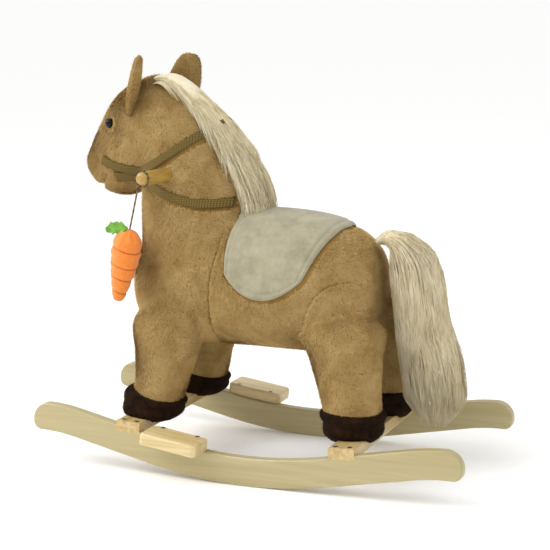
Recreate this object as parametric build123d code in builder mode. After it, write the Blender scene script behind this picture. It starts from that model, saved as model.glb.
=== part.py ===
from build123d import *
import os
from math import cos, radians, sin

# A plush rocking horse on two wooden rockers. The horse looks towards -X, its left side is
# towards -Y, and Z = 0 is the floor under the lowest point of the rockers.

os.makedirs("parts", exist_ok=True)

# ---------------------------------------------------------------- rockers and cross slats
rocker_length = 700.0  # along the middle line of each board
rocker_spread = 312.0  # between the outer faces of the two rockers
rocker_thickness = 17.5
rocker_depth = 44.0  # of the board, top edge to bottom edge
rocker_radius = 700.0  # of the edge that rolls on the floor
rocker_sweep = 11.8  # degrees of that arc on each side of the board's middle
tip_radius = 300.0  # of the board's middle line where it curls level at each tip
tip_turn = 15.0  # degrees
tip_corner_top = 27.0
tip_corner_bottom = 14.0
rocker_round = 3.0  # rounded-over long edges
rest_lean = 0.9  # degrees that the horse leans back when it stands still

slat_width = 40.0
slat_thickness = 18.0
slat_round = 2.0
front_slat_x = -182.0
front_slat_top = 82.0
front_slat_pitch = 4.0  # degrees, down towards the tail
rear_slat_x = 166.0
rear_slat_top = 75.5
rear_slat_pitch = -2.5

footrest_length = 94.0
footrest_width = 53.0
footrest_thickness = 17.5
footrest_x = -97.0
footrest_top = 71.5
footrest_pitch = 8.0
footrest_inset = 3.5  # from the rocker's inner face to the footrest's inner edge
footrest_corner = 8.0
footrest_round = 4.0

# ---------------------------------------------------------------- fasteners
screw_diameter = 4.0
screw_head_diameter = 8.0
screw_head_depth = 2.6
screw_length = 38.0
slat_screw_spacing = 22.0
footrest_screw_spacing = 58.0
bolt_diameter = 6.0
bolt_length = 62.0
bolt_head_width = 10.0  # across the flats
bolt_head_height = 4.0
washer_diameter = 18.0
washer_thickness = 1.6
post_screw_length = 45.0

# ---------------------------------------------------------------- inside frame
post_diameter = 24.0
fore_post_y = 74.0
hind_post_y = 70.0
cross_board_thickness = 18.0
cross_board_bottom = 215.0
cross_board_width = 32.0
fore_board_x = -164.0
hind_board_x = 140.0
fore_board_half_length = 82.0
hind_board_half_length = 78.0
spine_width = 70.0
neck_post_side = 36.0
neck_post_x = -137.6
neck_post_top = 500.0

# ---------------------------------------------------------------- stuffed body
body_front_x = -222.0
body_rear_x = 178.0
body_centre_z = 291.0
body_droop = 12.0  # how much lower the chest and the rump are centred
body_half_width = 105.0
body_half_height = 104.0
body_squareness = 3.5  # exponent of the superellipse, 2 is an ellipse
ring_stations = (-0.995, -0.93, -0.72, -0.35, 0.0, 0.35, 0.72, 0.93, 0.995)

# heights of the neck's rings with the front x, back x and half width of each
neck_rings = (
    (318.0, -212.0, -46.0, 97.0),
    (385.0, -217.0, -35.0, 85.0),
    (430.0, -219.0, -49.0, 71.0),
    (480.0, -216.0, -66.0, 61.0),
    (530.0, -214.0, -94.0, 57.0),
    (572.0, -208.0, -128.0, 46.0),
    (594.0, -186.0, -160.0, 16.0),
)

# The head is made looking straight ahead and turned about the handle's middle.
head_turn = 11.7  # degrees, towards the horse's right
head_back = (-140.0, 583.0)  # x and z of the first ring's middle
head_nose = (-318.0, 427.0)  # and of the last ring's
head_ring_lean = 50.0  # degrees of the rings' planes from upright
# place of each ring from back to nose, its half width and its half depth
head_rings = (
    (0.0, 12.0, 14.0),
    (0.065, 46.0, 46.0),
    (0.21, 64.0, 69.0),
    (0.405, 67.0, 78.0),
    (0.61, 60.0, 69.0),
    (0.80, 51.0, 56.0),
    (0.935, 38.0, 40.0),
    (1.0, 9.0, 10.0),
)

hoof_top = 114.0
# height, x, y, half length and half width of each leg ring, from the body down
fore_leg_rings = (
    (262.0, -148.0, 58.0, 26.0, 22.0),
    (235.0, -150.0, 62.0, 53.0, 44.0),
    (180.0, -152.0, 74.0, 48.0, 47.0),
    (140.0, -157.0, 80.0, 40.0, 43.0),
    (hoof_top, -161.0, 84.0, 38.0, 41.0),
)
hind_leg_rings = (
    (268.0, 126.0, 54.0, 28.0, 22.0),
    (240.0, 132.0, 58.0, 62.0, 47.0),
    (190.0, 142.0, 66.0, 54.0, 47.0),
    (140.0, 151.0, 74.0, 45.0, 44.0),
    (hoof_top, 156.0, 76.0, 42.0, 42.0),
)
fore_hoof_rings = (
    (hoof_top, -166.0, 85.0, 42.0, 44.0),
    (97.0, -170.0, 86.5, 46.0, 47.0),
    (77.0, -172.0, 86.5, 42.0, 44.0),
)
hind_hoof_rings = (
    (hoof_top, 157.0, 76.0, 43.0, 44.0),
    (94.0, 158.0, 76.0, 45.0, 46.0),
    (72.0, 158.0, 76.0, 41.0, 42.0),
)

# ---------------------------------------------------------------- what the horse wears
handle_diameter = 22.0
handle_length = 270.0
handle_z = 455.0
handle_end_round = 8.0
saddle_thickness = 5.0
strap_width = 13.0
strap_thickness = 2.4
eye_radius = 8.0
eye_x = -258.0
eye_y = 56.0
eye_z = 529.0
ear_length = 88.0
ear_width = 58.0
ear_thickness = 12.0
ear_base = (-210.0, 60.0, 552.0)
ear_facing = 33.0  # degrees that the ear's mouth turns outwards from straight ahead
ear_lean = 13.0  # degrees back
mane_half_width = 30.0
mane_round = 9.0
tail_half_width = 35.0
tail_round = 4.0

# side views, as x and z of points on the smooth outline or along the strap's middle
saddle_outline = (
    (46.0, 440.0), (-8.0, 425.0), (-34.0, 382.0), (-45.0, 335.0), (-29.0, 301.0), (18.0, 286.0),
    (64.0, 299.0), (88.0, 333.0), (106.0, 368.0), (118.0, 405.0), (96.0, 434.0),
)
cheek_strap_path = ((-198.0, 462.0), (-62.0, 541.0))
nose_strap_path = ((-284.0, 466.0), (-206.0, 456.0))
mouth_strap_path = ((-262.0, 447.0), (-206.0, 440.5))
rein_path = ((-182.0, 440.0), (-150.0, 424.0), (-98.0, 412.0), (-28.0, 414.0))
mane_outline = (
    (-210.0, 584.0), (-204.0, 604.0), (-168.0, 614.0), (-124.0, 582.0), (-84.0, 538.0),
    (-50.0, 488.0), (-22.0, 444.0), (-10.0, 412.0), (-36.0, 402.0), (-70.0, 450.0),
    (-112.0, 520.0), (-160.0, 566.0),
)
tail_outline = (
    (160.0, 358.0), (170.0, 374.0), (204.0, 380.0), (246.0, 368.0), (266.0, 336.0),
    (275.0, 275.0), (290.0, 222.0), (308.0, 176.0), (312.0, 132.0), (284.0, 104.0),
    (240.0, 100.0), (214.0, 126.0), (207.0, 190.0), (203.0, 260.0), (196.0, 320.0),
    (178.0, 344.0),
)
reach_across = 160.0  # half width of a shape that must run right across the horse

# ---------------------------------------------------------------- carrot on its twine
twine_diameter = 2.6
twine_gap = 0.2  # between the loop and the handle
loop_inset = 6.0  # from the handle's end to the loop
knot_radius = 2.8
knot_angle = 33.0  # degrees that the knot sits forward of straight under the handle
twine_length = 69.0
twine_tilt = 15.3  # degrees forward
carrot_length = 118.0
carrot_radius = 22.5
carrot_tilt = 11.0
hang_gap = 0.8  # between the twine's end and the carrot's top
leaf_length = 36.0
leaf_width = 18.0
leaf_thickness = 3.0
soft_gap = 0.3  # between soft pieces that only lie against each other


def across_plane(y):
    """The horse's side view, X to the right and Z up, at the distance y."""
    return Plane(origin=(0, y, 0), x_dir=(1, 0, 0), z_dir=(0, -1, 0))


def pitched_plane(x, z, pitch, y=0.0):
    """A nearly level plane through (x, y, z) that slopes down towards the tail by pitch."""
    slope = radians(pitch)
    return Plane(
        origin=(x, y, z), x_dir=(cos(slope), 0, -sin(slope)), z_dir=(sin(slope), 0, cos(slope))
    )


def head_vector(x, y, z):
    """A direction of the straight head, turned with the head."""
    turn = radians(-head_turn)
    return (x * cos(turn) - y * sin(turn), x * sin(turn) + y * cos(turn), z)


def head_point(x, y, z):
    """A point of the straight head, turned with the head about the handle's middle."""
    offset = head_vector(x - neck_post_x, y, 0)
    return (neck_post_x + offset[0], offset[1], z)


# ================================================================ rockers and slats
front_slat_plane = pitched_plane(front_slat_x, front_slat_top, front_slat_pitch)
rear_slat_plane = pitched_plane(rear_slat_x, rear_slat_top, rear_slat_pitch)
rocker_inner_y = rocker_spread / 2 - rocker_thickness
rocker_middle_y = rocker_spread / 2 - rocker_thickness / 2
footrest_middle_y = rocker_inner_y + footrest_inset + footrest_width / 2


def footrest_plane(side):
    return pitched_plane(footrest_x, footrest_top, footrest_pitch, side * footrest_middle_y)


half_depth = rocker_depth / 2
middle_radius = rocker_radius - half_depth
sweep = radians(rocker_sweep)
tip_reach = tip_radius * (sin(sweep) + sin(radians(tip_turn) - sweep))
run_length = (rocker_length / 2 - middle_radius * sin(sweep) - tip_reach) / cos(sweep)
tip_height = (
    middle_radius * (1 - cos(sweep)) + run_length * sin(sweep) + tip_radius * (1 - cos(sweep))
)
lowest_x = (middle_radius - tip_height) * sin(radians(rest_lean))


def rocker_edge(offset):
    """One long edge of a rocker, from the front tip to the rear tip.

    The rolling arc is concentric with the board's middle line, a straight run follows at each
    end, and a second arc curls each tip level.
    """
    start = 270 - rocker_sweep - rest_lean
    arc = CenterArc((lowest_x, rocker_radius), middle_radius - offset, start, 2 * rocker_sweep)
    front_run = Line(arc @ 0, arc @ 0 - (arc % 0) * run_length)
    rear_run = Line(arc @ 1, arc @ 1 + (arc % 1) * run_length)
    front_tip = JernArc(front_run @ 1, front_run % 1, tip_radius + offset, tip_turn)
    rear_tip = JernArc(rear_run @ 1, rear_run % 1, tip_radius + offset, -tip_turn)
    return front_tip @ 1, rear_tip @ 1


def countersunk_screws(plane, places, length=screw_length):
    """Countersunk screws at the given places, with their heads level with the plane."""
    top = (Align.CENTER, Align.CENTER, Align.MAX)
    with BuildPart() as screws:
        with Locations(plane):
            with Locations(*[(x, y, 0) for x, y in places]):
                Cone(screw_diameter / 2, screw_head_diameter / 2, screw_head_depth, align=top)
                Cylinder(screw_diameter / 2, length, align=top)
    return screws.part


def finish(part, name):
    """Names a finished piece and writes its file."""
    part.label = name
    export_step(part, f"parts/{name}.step")


def cut_away(*pieces):
    """Takes the room of other pieces out of the part being built."""
    for piece in pieces:
        add(piece, mode=Mode.SUBTRACT)


def make_slat(plane):
    with BuildPart() as slat:
        with BuildSketch(plane):
            Rectangle(slat_width, rocker_spread)
        extrude(amount=-slat_thickness)
        fillet(slat.edges().filter_by(Axis.Y), slat_round)
    return slat.part


front_slat_blank = make_slat(front_slat_plane)
rear_slat_blank = make_slat(rear_slat_plane)
slat_screw_places = [
    (x * slat_screw_spacing / 2, y * rocker_middle_y) for x in (-1, 1) for y in (-1, 1)
]
front_slat_screws = countersunk_screws(front_slat_plane, slat_screw_places)
rear_slat_screws = countersunk_screws(rear_slat_plane, slat_screw_places)
finish(front_slat_screws, "front_slat_screws")
finish(rear_slat_screws, "rear_slat_screws")


def make_footrest(side):
    with BuildPart() as footrest:
        with BuildSketch(footrest_plane(side)):
            RectangleRounded(footrest_length, footrest_width, footrest_corner)
        extrude(amount=-footrest_thickness)
        top_face = footrest.faces().sort_by(Axis.Z)[-1]
        fillet(top_face.edges(), footrest_round)
    return footrest.part


def footrest_screws(side):
    inwards = side * (rocker_middle_y - footrest_middle_y)
    places = [(x * footrest_screw_spacing / 2, inwards) for x in (-1, 1)]
    return countersunk_screws(footrest_plane(side), places)


def make_rocker(side):
    with BuildPart() as rocker:
        with BuildSketch(across_plane(side * rocker_middle_y)) as outline:
            with BuildLine():
                low_front, low_rear = rocker_edge(-half_depth)
                high_front, high_rear = rocker_edge(half_depth)
                Line(low_front, high_front)
                Line(low_rear, high_rear)
            make_face()
            for corner, radius in (
                (low_front, tip_corner_bottom), (low_rear, tip_corner_bottom),
                (high_front, tip_corner_top), (high_rear, tip_corner_top),
            ):
                tip = Vector(corner.X, corner.Y)
                fillet(outline.vertices().sort_by_distance(tip)[0], radius)
        extrude(amount=rocker_thickness / 2, both=True)
        fillet(rocker.faces().filter_by(Axis.Y).edges(), rocker_round)
        cut_away(front_slat_blank, rear_slat_blank, footrests[side])
        cut_away(front_slat_screws, rear_slat_screws, footrest_fixings[side])
    return rocker.part


footrests = {side: make_footrest(side) for side in (-1, 1)}
footrest_fixings = {side: footrest_screws(side) for side in (-1, 1)}
for side, side_name in ((-1, "left"), (1, "right")):
    finish(footrest_fixings[side], f"footrest_{side_name}_screws")
    finish(make_rocker(side), f"rocker_{side_name}")
    with BuildPart() as footrest:
        add(footrests[side])
        cut_away(footrest_fixings[side])
    finish(footrest.part, f"footrest_{side_name}")


# ================================================================ inside frame and leg bolts
def post_axis(foot, head):
    """A plane at the post's foot whose normal runs up the post."""
    run = Vector(*head) - Vector(*foot)
    return Plane(origin=foot, x_dir=(0, 1, 0), z_dir=run), run.length


def make_post(foot, head, slat):
    """A leg post, cut level under the cross board and flat on its slat."""
    plane, length = post_axis(foot, head)
    with BuildPart() as post:
        with BuildSketch(plane.offset(-slat_thickness)):
            Circle(post_diameter / 2)
        extrude(amount=length + 2 * slat_thickness)
        split(bisect_by=Plane.XY.offset(cross_board_bottom), keep=Keep.BOTTOM)
        cut_away(slat)
    return post.part.solids().sort_by(Axis.Z)[-1]


def make_cross_board(x, half_length):
    with BuildPart() as board:
        with BuildSketch(Plane.XY.offset(cross_board_bottom)):
            with Locations((x, 0)):
                Rectangle(cross_board_width, 2 * half_length)
        extrude(amount=cross_board_thickness)
    return board.part


def make_bolt(plane, y):
    """A hexagon bolt pushed up through a slat into the foot of a leg post."""
    with BuildPart() as bolt:
        with BuildSketch(plane.offset(-slat_thickness - washer_thickness)):
            with Locations((0, y)):
                RegularPolygon(bolt_head_width / 2, 6, major_radius=False)
        extrude(amount=-bolt_head_height)
        with BuildSketch(plane.offset(-slat_thickness - washer_thickness)):
            with Locations((0, y)):
                Circle(bolt_diameter / 2)
        extrude(amount=bolt_length)
    return bolt.part


def make_washer(plane, y):
    with BuildPart() as washer:
        with BuildSketch(plane.offset(-slat_thickness)):
            with Locations((0, y)):
                Circle(washer_diameter / 2)
                Circle(bolt_diameter / 2, mode=Mode.SUBTRACT)
        extrude(amount=-washer_thickness)
    return washer.part


fore_board = make_cross_board(fore_board_x, fore_board_half_length)
hind_board = make_cross_board(hind_board_x, hind_board_half_length)
leg_places = {
    f"{end}_{side_name}": (end, side)
    for end in ("fore", "hind")
    for side, side_name in ((-1, "left"), (1, "right"))
}
posts, bolts, washers = {}, {}, {}
for leg, (end, side) in leg_places.items():
    fore = end == "fore"
    slat_plane = front_slat_plane if fore else rear_slat_plane
    slat_blank = front_slat_blank if fore else rear_slat_blank
    foot_y = side * (fore_post_y if fore else hind_post_y)
    foot = (front_slat_x, foot_y, front_slat_top) if fore else (rear_slat_x, foot_y, rear_slat_top)
    board_x = fore_board_x if fore else hind_board_x
    half_length = fore_board_half_length if fore else hind_board_half_length
    head = (board_x, side * (half_length - post_diameter / 2 - 3), cross_board_bottom)
    posts[leg] = make_post(foot, head, slat_blank)
    bolts[leg] = make_bolt(slat_plane, foot_y)
    washers[leg] = make_washer(slat_plane, foot_y)

with BuildPart() as spine_board:
    spine_start = fore_board_x - cross_board_width / 2
    spine_end = hind_board_x + cross_board_width / 2
    with BuildSketch(Plane.XY.offset(cross_board_bottom + cross_board_thickness)):
        with Locations(((spine_start + spine_end) / 2, 0)):
            Rectangle(spine_end - spine_start, spine_width)
    extrude(amount=cross_board_thickness)
spine_top = cross_board_bottom + 2 * cross_board_thickness

# two screws down through the spine board into each cross board, and one into each leg post
frame_screw_places = [
    (x, y * spine_width / 4) for x in (fore_board_x, hind_board_x) for y in (-1, 1)
]
frame_screws = countersunk_screws(
    Plane.XY.offset(spine_top), frame_screw_places, 2 * cross_board_thickness - 2
)
post_screw_places = [
    (x, side * (half_length - post_diameter / 2 - 3))
    for x, half_length in (
        (fore_board_x, fore_board_half_length), (hind_board_x, hind_board_half_length)
    )
    for side in (-1, 1)
]
post_screws = countersunk_screws(
    Plane.XY.offset(cross_board_bottom + cross_board_thickness),
    post_screw_places,
    post_screw_length,
)

handle_direction = head_vector(0, -1, 0)
handle_middle = (neck_post_x, 0, handle_z)
handle_plane = Plane(origin=handle_middle, x_dir=(0, 0, 1), z_dir=handle_direction)
with BuildPart() as handle:
    with BuildSketch(handle_plane):
        Circle(handle_diameter / 2)
    extrude(amount=handle_length / 2, both=True)
    fillet(handle.edges().filter_by(GeomType.CIRCLE), handle_end_round)

with BuildPart() as neck_post:
    with BuildSketch(Plane.XY.offset(spine_top)):
        with Locations((neck_post_x, 0)):
            Rectangle(neck_post_side, neck_post_side)
    extrude(amount=neck_post_top - spine_top)
    cut_away(handle.part)

with BuildPart() as spine:
    add(spine_board.part)
    cut_away(frame_screws)
with BuildPart() as fore_cross_board:
    add(fore_board)
    cut_away(frame_screws, post_screws)
with BuildPart() as hind_cross_board:
    add(hind_board)
    cut_away(frame_screws, post_screws)
with BuildPart() as leg_bolts:
    for bolt in bolts.values():
        add(bolt)
with BuildPart() as leg_washers:
    for washer in washers.values():
        add(washer)
with BuildPart() as front_slat:
    add(front_slat_blank)
    cut_away(front_slat_screws, leg_bolts.part)
with BuildPart() as rear_slat:
    add(rear_slat_blank)
    cut_away(rear_slat_screws, leg_bolts.part)
finish(handle.part, "handle")
finish(neck_post.part, "neck_post")
finish(spine.part, "spine_board")
finish(fore_cross_board.part, "fore_cross_board")
finish(hind_cross_board.part, "hind_cross_board")
finish(frame_screws, "spine_screws")
finish(post_screws, "post_screws")
finish(leg_bolts.part, "leg_bolts")
finish(leg_washers.part, "leg_washers")
finish(front_slat.part, "front_slat")
finish(rear_slat.part, "rear_slat")
for leg in leg_places:
    with BuildPart() as post:
        add(posts[leg])
        cut_away(post_screws, leg_bolts.part)
    finish(post.part, f"{leg}_leg_post")
frame_pieces = [spine_board.part, fore_board, hind_board, neck_post.part, *posts.values()]


# ================================================================ stuffed body
def superellipse(u):
    """Share of the full half size that is left at the place u, from -1 to 1 along the body."""
    return (1 - abs(u) ** body_squareness) ** (1 / body_squareness)


def make_torso(grow=0.0):
    """The barrel of the body, lofted through rings along X; grow makes every ring larger."""
    middle = (body_front_x + body_rear_x) / 2
    half_length = (body_rear_x - body_front_x) / 2
    with BuildPart() as torso:
        for u in ring_stations:
            share = superellipse(u)
            ring_z = body_centre_z - body_droop * u * u
            origin = (middle + u * half_length, 0, ring_z)
            with BuildSketch(Plane(origin=origin, x_dir=(0, 1, 0), z_dir=(1, 0, 0))):
                Ellipse(body_half_width * share + grow, body_half_height * share + grow)
        loft()
    return torso.part


def make_neck(grow=0.0):
    with BuildPart() as neck:
        for z, front_x, back_x, half_width in neck_rings:
            with BuildSketch(Plane(((front_x + back_x) / 2, 0, z))):
                Ellipse((back_x - front_x) / 2 + grow, half_width + grow)
        loft()
    return neck.part


def make_head(grow=0.0):
    """The head, lofted through leaning rings from the poll to the nose."""
    lean = radians(head_ring_lean)
    across = head_vector(0, 1, 0)
    forwards = head_vector(-cos(lean), 0, -sin(lean))
    with BuildPart() as head:
        for place, half_width, half_depth_here in head_rings:
            x = head_back[0] + place * (head_nose[0] - head_back[0])
            z = head_back[1] + place * (head_nose[1] - head_back[1])
            with BuildSketch(Plane(head_point(x, 0, z), x_dir=across, z_dir=forwards)):
                Ellipse(half_width + grow, half_depth_here + grow)
        loft()
    return head.part


def make_leg(rings, side):
    """One leg or hoof, lofted downwards through level rings."""
    with BuildPart() as leg:
        for z, x, y, half_length, half_width in rings:
            with BuildSketch(Plane((x, side * y, z))):
                Ellipse(half_length, half_width)
        loft()
    return leg.part


torso_full = make_torso()
neck_full = make_neck()
head_full = make_head()
with BuildPart() as torso:
    add(torso_full)
    cut_away(*frame_pieces)
with BuildPart() as neck:
    add(neck_full)
    cut_away(torso_full, head_full, neck_post.part, handle.part)
with BuildPart() as eyes:
    with Locations(head_point(eye_x, -eye_y, eye_z), head_point(eye_x, eye_y, eye_z)):
        Sphere(eye_radius)
with BuildPart() as head:
    add(head_full)
    cut_away(neck_post.part, handle.part, eyes.part)
finish(torso.part, "torso")
finish(neck.part, "neck")
finish(head.part, "head")
finish(eyes.part, "eyes")
legs = {}
for leg, (end, side) in leg_places.items():
    fore = end == "fore"
    shape = make_leg(fore_leg_rings if fore else hind_leg_rings, side)
    board = fore_board if fore else hind_board
    with BuildPart() as limb:
        add(shape)
        cut_away(torso_full, posts[leg], board)
    legs[leg] = limb.part
    finish(limb.part, f"{leg}_leg")
    with BuildPart() as hoof:
        add(make_leg(fore_hoof_rings if fore else hind_hoof_rings, side))
        cut_away(front_slat_blank if fore else rear_slat_blank, posts[leg])
    finish(hoof.part, f"{leg}_hoof")


# ================================================================ saddle, bridle and hair
def side_prism(points, half_width):
    """A solid whose side view is the smooth outline through the given points."""
    with BuildPart() as prism:
        with BuildSketch(across_plane(0)):
            with BuildLine():
                Spline(*points, periodic=True)
            make_face()
        extrude(amount=half_width, both=True)
    return prism.part


def bar_prism(start, end, width, half_width):
    """A straight bar seen from the side, width wide, running right across the horse."""
    with BuildPart() as bar:
        with BuildSketch(across_plane(0)):
            with BuildLine() as run:
                Line(start, end)
            trace(line_width=width)
        extrude(amount=half_width, both=True)
    return bar.part


with BuildPart() as saddle:
    add(make_torso(saddle_thickness))
    add(side_prism(saddle_outline, reach_across), mode=Mode.INTERSECT)
    cut_away(torso_full, neck_full)
saddle_piece = saddle.part.solids().sort_by(SortBy.VOLUME)[-1]
finish(saddle_piece, "saddle")

# the bridle's straps lie on the head and neck: each is a thin skin cut to the strap's path
with BuildPart() as bridle_skin:
    add(make_head(strap_thickness))
    add(make_neck(strap_thickness))
    cut_away(head_full, neck_full, torso_full, handle.part)
with BuildPart() as cheek_strap:
    add(bridle_skin.part)
    add(bar_prism(*cheek_strap_path, strap_width, reach_across), mode=Mode.INTERSECT)
with BuildPart() as nose_strap:
    add(bridle_skin.part)
    add(bar_prism(*nose_strap_path, strap_width, reach_across), mode=Mode.INTERSECT)
    cut_away(cheek_strap.part)
with BuildPart() as mouth_strap:
    add(bridle_skin.part)
    add(bar_prism(*mouth_strap_path, strap_width, reach_across), mode=Mode.INTERSECT)
    cut_away(cheek_strap.part, nose_strap.part)
with BuildPart() as rein_bar:
    with BuildSketch(across_plane(0)):
        with BuildLine():
            Spline(*rein_path)
        trace(line_width=strap_width)
    extrude(amount=reach_across, both=True)
with BuildPart() as rein:
    add(bridle_skin.part)
    add(rein_bar.part, mode=Mode.INTERSECT)
    cut_away(cheek_strap.part, nose_strap.part, mouth_strap.part)
straps = {
    "cheek_strap": cheek_strap.part,
    "nose_strap": nose_strap.part,
    "mouth_strap": mouth_strap.part,
    "rein": rein.part,
}
for strap_name, strap in straps.items():
    finish(strap, strap_name)

with BuildPart() as mane:
    add(side_prism(mane_outline, mane_half_width))
    fillet(mane.faces().filter_by(Axis.Y).edges(), mane_round)
    cut_away(head_full, neck_full, torso_full, *straps.values(), saddle_piece)
mane_piece = mane.part.solids().sort_by(SortBy.VOLUME)[-1]
finish(mane_piece, "mane")

with BuildPart() as tail:
    add(side_prism(tail_outline, tail_half_width))
    fillet(tail.faces().filter_by(Axis.Y).edges(), tail_round)
    cut_away(torso_full, *legs.values())
tail_piece = tail.part.solids().sort_by(SortBy.VOLUME)[-1]
finish(tail_piece, "tail")


def make_ear(side):
    """A leaf-shaped ear whose mouth faces forwards and outwards."""
    facing = radians(ear_facing)
    lean = radians(ear_lean)
    up = Vector(*head_vector(sin(lean), side * 0.06, cos(lean)))
    mouth = Vector(*head_vector(-cos(facing), side * sin(facing), 0))
    width = up.cross(mouth).normalized()
    plane = Plane(head_point(ear_base[0], side * ear_base[1], ear_base[2]), width, width.cross(up))
    with BuildPart() as ear:
        with BuildSketch(plane):
            with BuildLine():
                Spline(
                    (0, -8), (ear_width / 2, 0.32 * ear_length), (0, ear_length),
                    (-ear_width / 2, 0.32 * ear_length), periodic=True,
                )
            make_face()
        extrude(amount=ear_thickness / 2, both=True)
        fillet(ear.edges().filter_by(GeomType.BSPLINE), ear_thickness / 2 - 1.5)
        cut_away(head_full, neck_full, mane_piece)
    return ear.part.solids().sort_by(SortBy.VOLUME)[-1]


for side, side_name in ((-1, "left"), (1, "right")):
    finish(make_ear(side), f"ear_{side_name}")

# ================================================================ carrot on its twine
forward = Vector(*head_vector(-1, 0, 0))
outward = Vector(*handle_direction)
down = Vector(0, 0, -1)


def leaning_down(angle):
    """The direction straight down, tipped forwards by an angle in degrees."""
    return down * cos(radians(angle)) + forward * sin(radians(angle))


loop_centre = Vector(*handle_middle) + outward * (handle_length / 2 - loop_inset)
loop_radius = handle_diameter / 2 + twine_gap + twine_diameter / 2
knot_centre = loop_centre + leaning_down(knot_angle) * (loop_radius + 1.5)
twine_end = knot_centre + leaning_down(twine_tilt) * twine_length
carrot_axis = leaning_down(carrot_tilt)
up = Vector(0, 0, 1)
with BuildPart() as twine_loop:
    with BuildSketch(Plane(loop_centre + forward * loop_radius, x_dir=forward, z_dir=down)):
        Circle(twine_diameter / 2)
    revolve(axis=Axis(loop_centre, outward), revolution_arc=360)
    with Locations(knot_centre):
        Sphere(knot_radius)
with BuildPart() as twine:
    run_plane = Plane(knot_centre, x_dir=outward, z_dir=leaning_down(twine_tilt))
    with BuildSketch(run_plane.offset(knot_radius + soft_gap)):
        Circle(twine_diameter / 2)
    extrude(amount=twine_length - knot_radius - soft_gap)

carrot_top = twine_end + carrot_axis * hang_gap
with BuildPart() as carrot:
    with BuildSketch(Plane(carrot_top, x_dir=outward, z_dir=outward.cross(carrot_axis))):
        with BuildLine():
            skin_line = Spline(
                (0, 0),
                (0.58 * carrot_radius, 0.07 * carrot_length),
                (carrot_radius, 0.29 * carrot_length),
                (0.87 * carrot_radius, 0.55 * carrot_length),
                (0.62 * carrot_radius, 0.78 * carrot_length),
                (0.38 * carrot_radius, 0.95 * carrot_length),
            )
            tip_line = Spline(
                skin_line @ 1, (0, carrot_length), tangents=(skin_line % 1, (-1, 0))
            )
            Line(tip_line @ 1, skin_line @ 0)
        make_face()
    revolve(axis=Axis(carrot_top, carrot_axis), revolution_arc=360)
leaf_middle = carrot_top + forward * (leaf_length / 2 + twine_diameter) + outward * 6 + up * 2
with BuildPart() as leaf:
    with BuildSketch(Plane(leaf_middle, x_dir=forward, z_dir=outward * 0.85 + up * 0.5)):
        Ellipse(leaf_length / 2, leaf_width / 2)
    extrude(amount=leaf_thickness / 2, both=True)
    cut_away(carrot.part)
leaf_piece = leaf.part.solids().sort_by(SortBy.VOLUME)[-1]
finish(twine_loop.part, "twine_loop")
finish(twine.part, "carrot_twine")
finish(carrot.part, "carrot")
finish(leaf_piece, "carrot_leaf")

print("lowest point of the rockers at x =", round(lowest_x, 2))
print("handle middle", handle_middle, "direction", outward)
print("loop centre", loop_centre, "knot", knot_centre, "twine end", twine_end)
print("twine length", twine_length, "and no bends")
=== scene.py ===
import math

import bpy
import numpy as np
from mathutils import Matrix, Vector


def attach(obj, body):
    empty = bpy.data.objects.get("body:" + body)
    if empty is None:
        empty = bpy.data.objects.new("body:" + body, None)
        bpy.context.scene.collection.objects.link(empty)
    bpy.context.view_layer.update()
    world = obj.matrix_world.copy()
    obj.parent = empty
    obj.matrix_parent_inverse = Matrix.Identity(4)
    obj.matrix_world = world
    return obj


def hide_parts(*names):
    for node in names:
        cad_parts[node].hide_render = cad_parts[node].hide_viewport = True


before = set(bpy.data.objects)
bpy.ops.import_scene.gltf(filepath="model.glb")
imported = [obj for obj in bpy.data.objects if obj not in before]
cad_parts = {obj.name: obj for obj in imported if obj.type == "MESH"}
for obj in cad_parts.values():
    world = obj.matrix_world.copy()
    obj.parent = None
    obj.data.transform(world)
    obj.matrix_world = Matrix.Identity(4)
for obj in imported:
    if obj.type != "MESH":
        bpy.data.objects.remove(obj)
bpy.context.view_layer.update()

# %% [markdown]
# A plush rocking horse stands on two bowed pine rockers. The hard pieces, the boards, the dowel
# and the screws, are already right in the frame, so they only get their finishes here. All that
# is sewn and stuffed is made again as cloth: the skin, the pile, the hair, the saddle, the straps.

MM = 0.001
scene = bpy.context.scene
scene.view_settings.view_transform = "Standard"

# %% [markdown]
# The camera stands a little in front of the horse's left shoulder, slightly above its back, and
# far enough off that the near and the far rocker come out almost the same length. A long lens
# keeps that flat look.

# %% Camera
camera_data = bpy.data.cameras.new("camera")
camera_data.lens = 104.1
camera_data.sensor_width = 36.0
camera = bpy.data.objects.new("camera", camera_data)
scene.collection.objects.link(camera)
camera.location = (0.9238, -2.2654, 0.7350)
sight_line = Vector((0.0007, 0.0, 0.2962)) - camera.location
aim = sight_line.to_track_quat("-Z", "Y").to_matrix() @ Matrix.Rotation(math.radians(-0.36), 3, "Z")
camera.rotation_mode = "QUATERNION"
camera.rotation_quaternion = aim.to_quaternion()
scene.camera = camera
print("camera", round(sight_line.length, 3), "m from the middle of the horse")

# %% [markdown]
# Every finish is a small graph of nodes that reads places on the piece, so one helper turns a hex
# code into the linear colour a shader wants, one adds a node, and one sets the shader's inputs.

# %% Colours, nodes and finishes
def colour(code):
    """Linear RGBA of an sRGB hex code, by the sRGB curve."""
    shares = np.array([int(code[i : i + 2], 16) / 255 for i in (1, 3, 5)])
    linear = np.where(shares <= 0.04045, shares / 12.92, ((shares + 0.055) / 1.055) ** 2.4)
    return (*linear.tolist(), 1.0)


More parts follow.
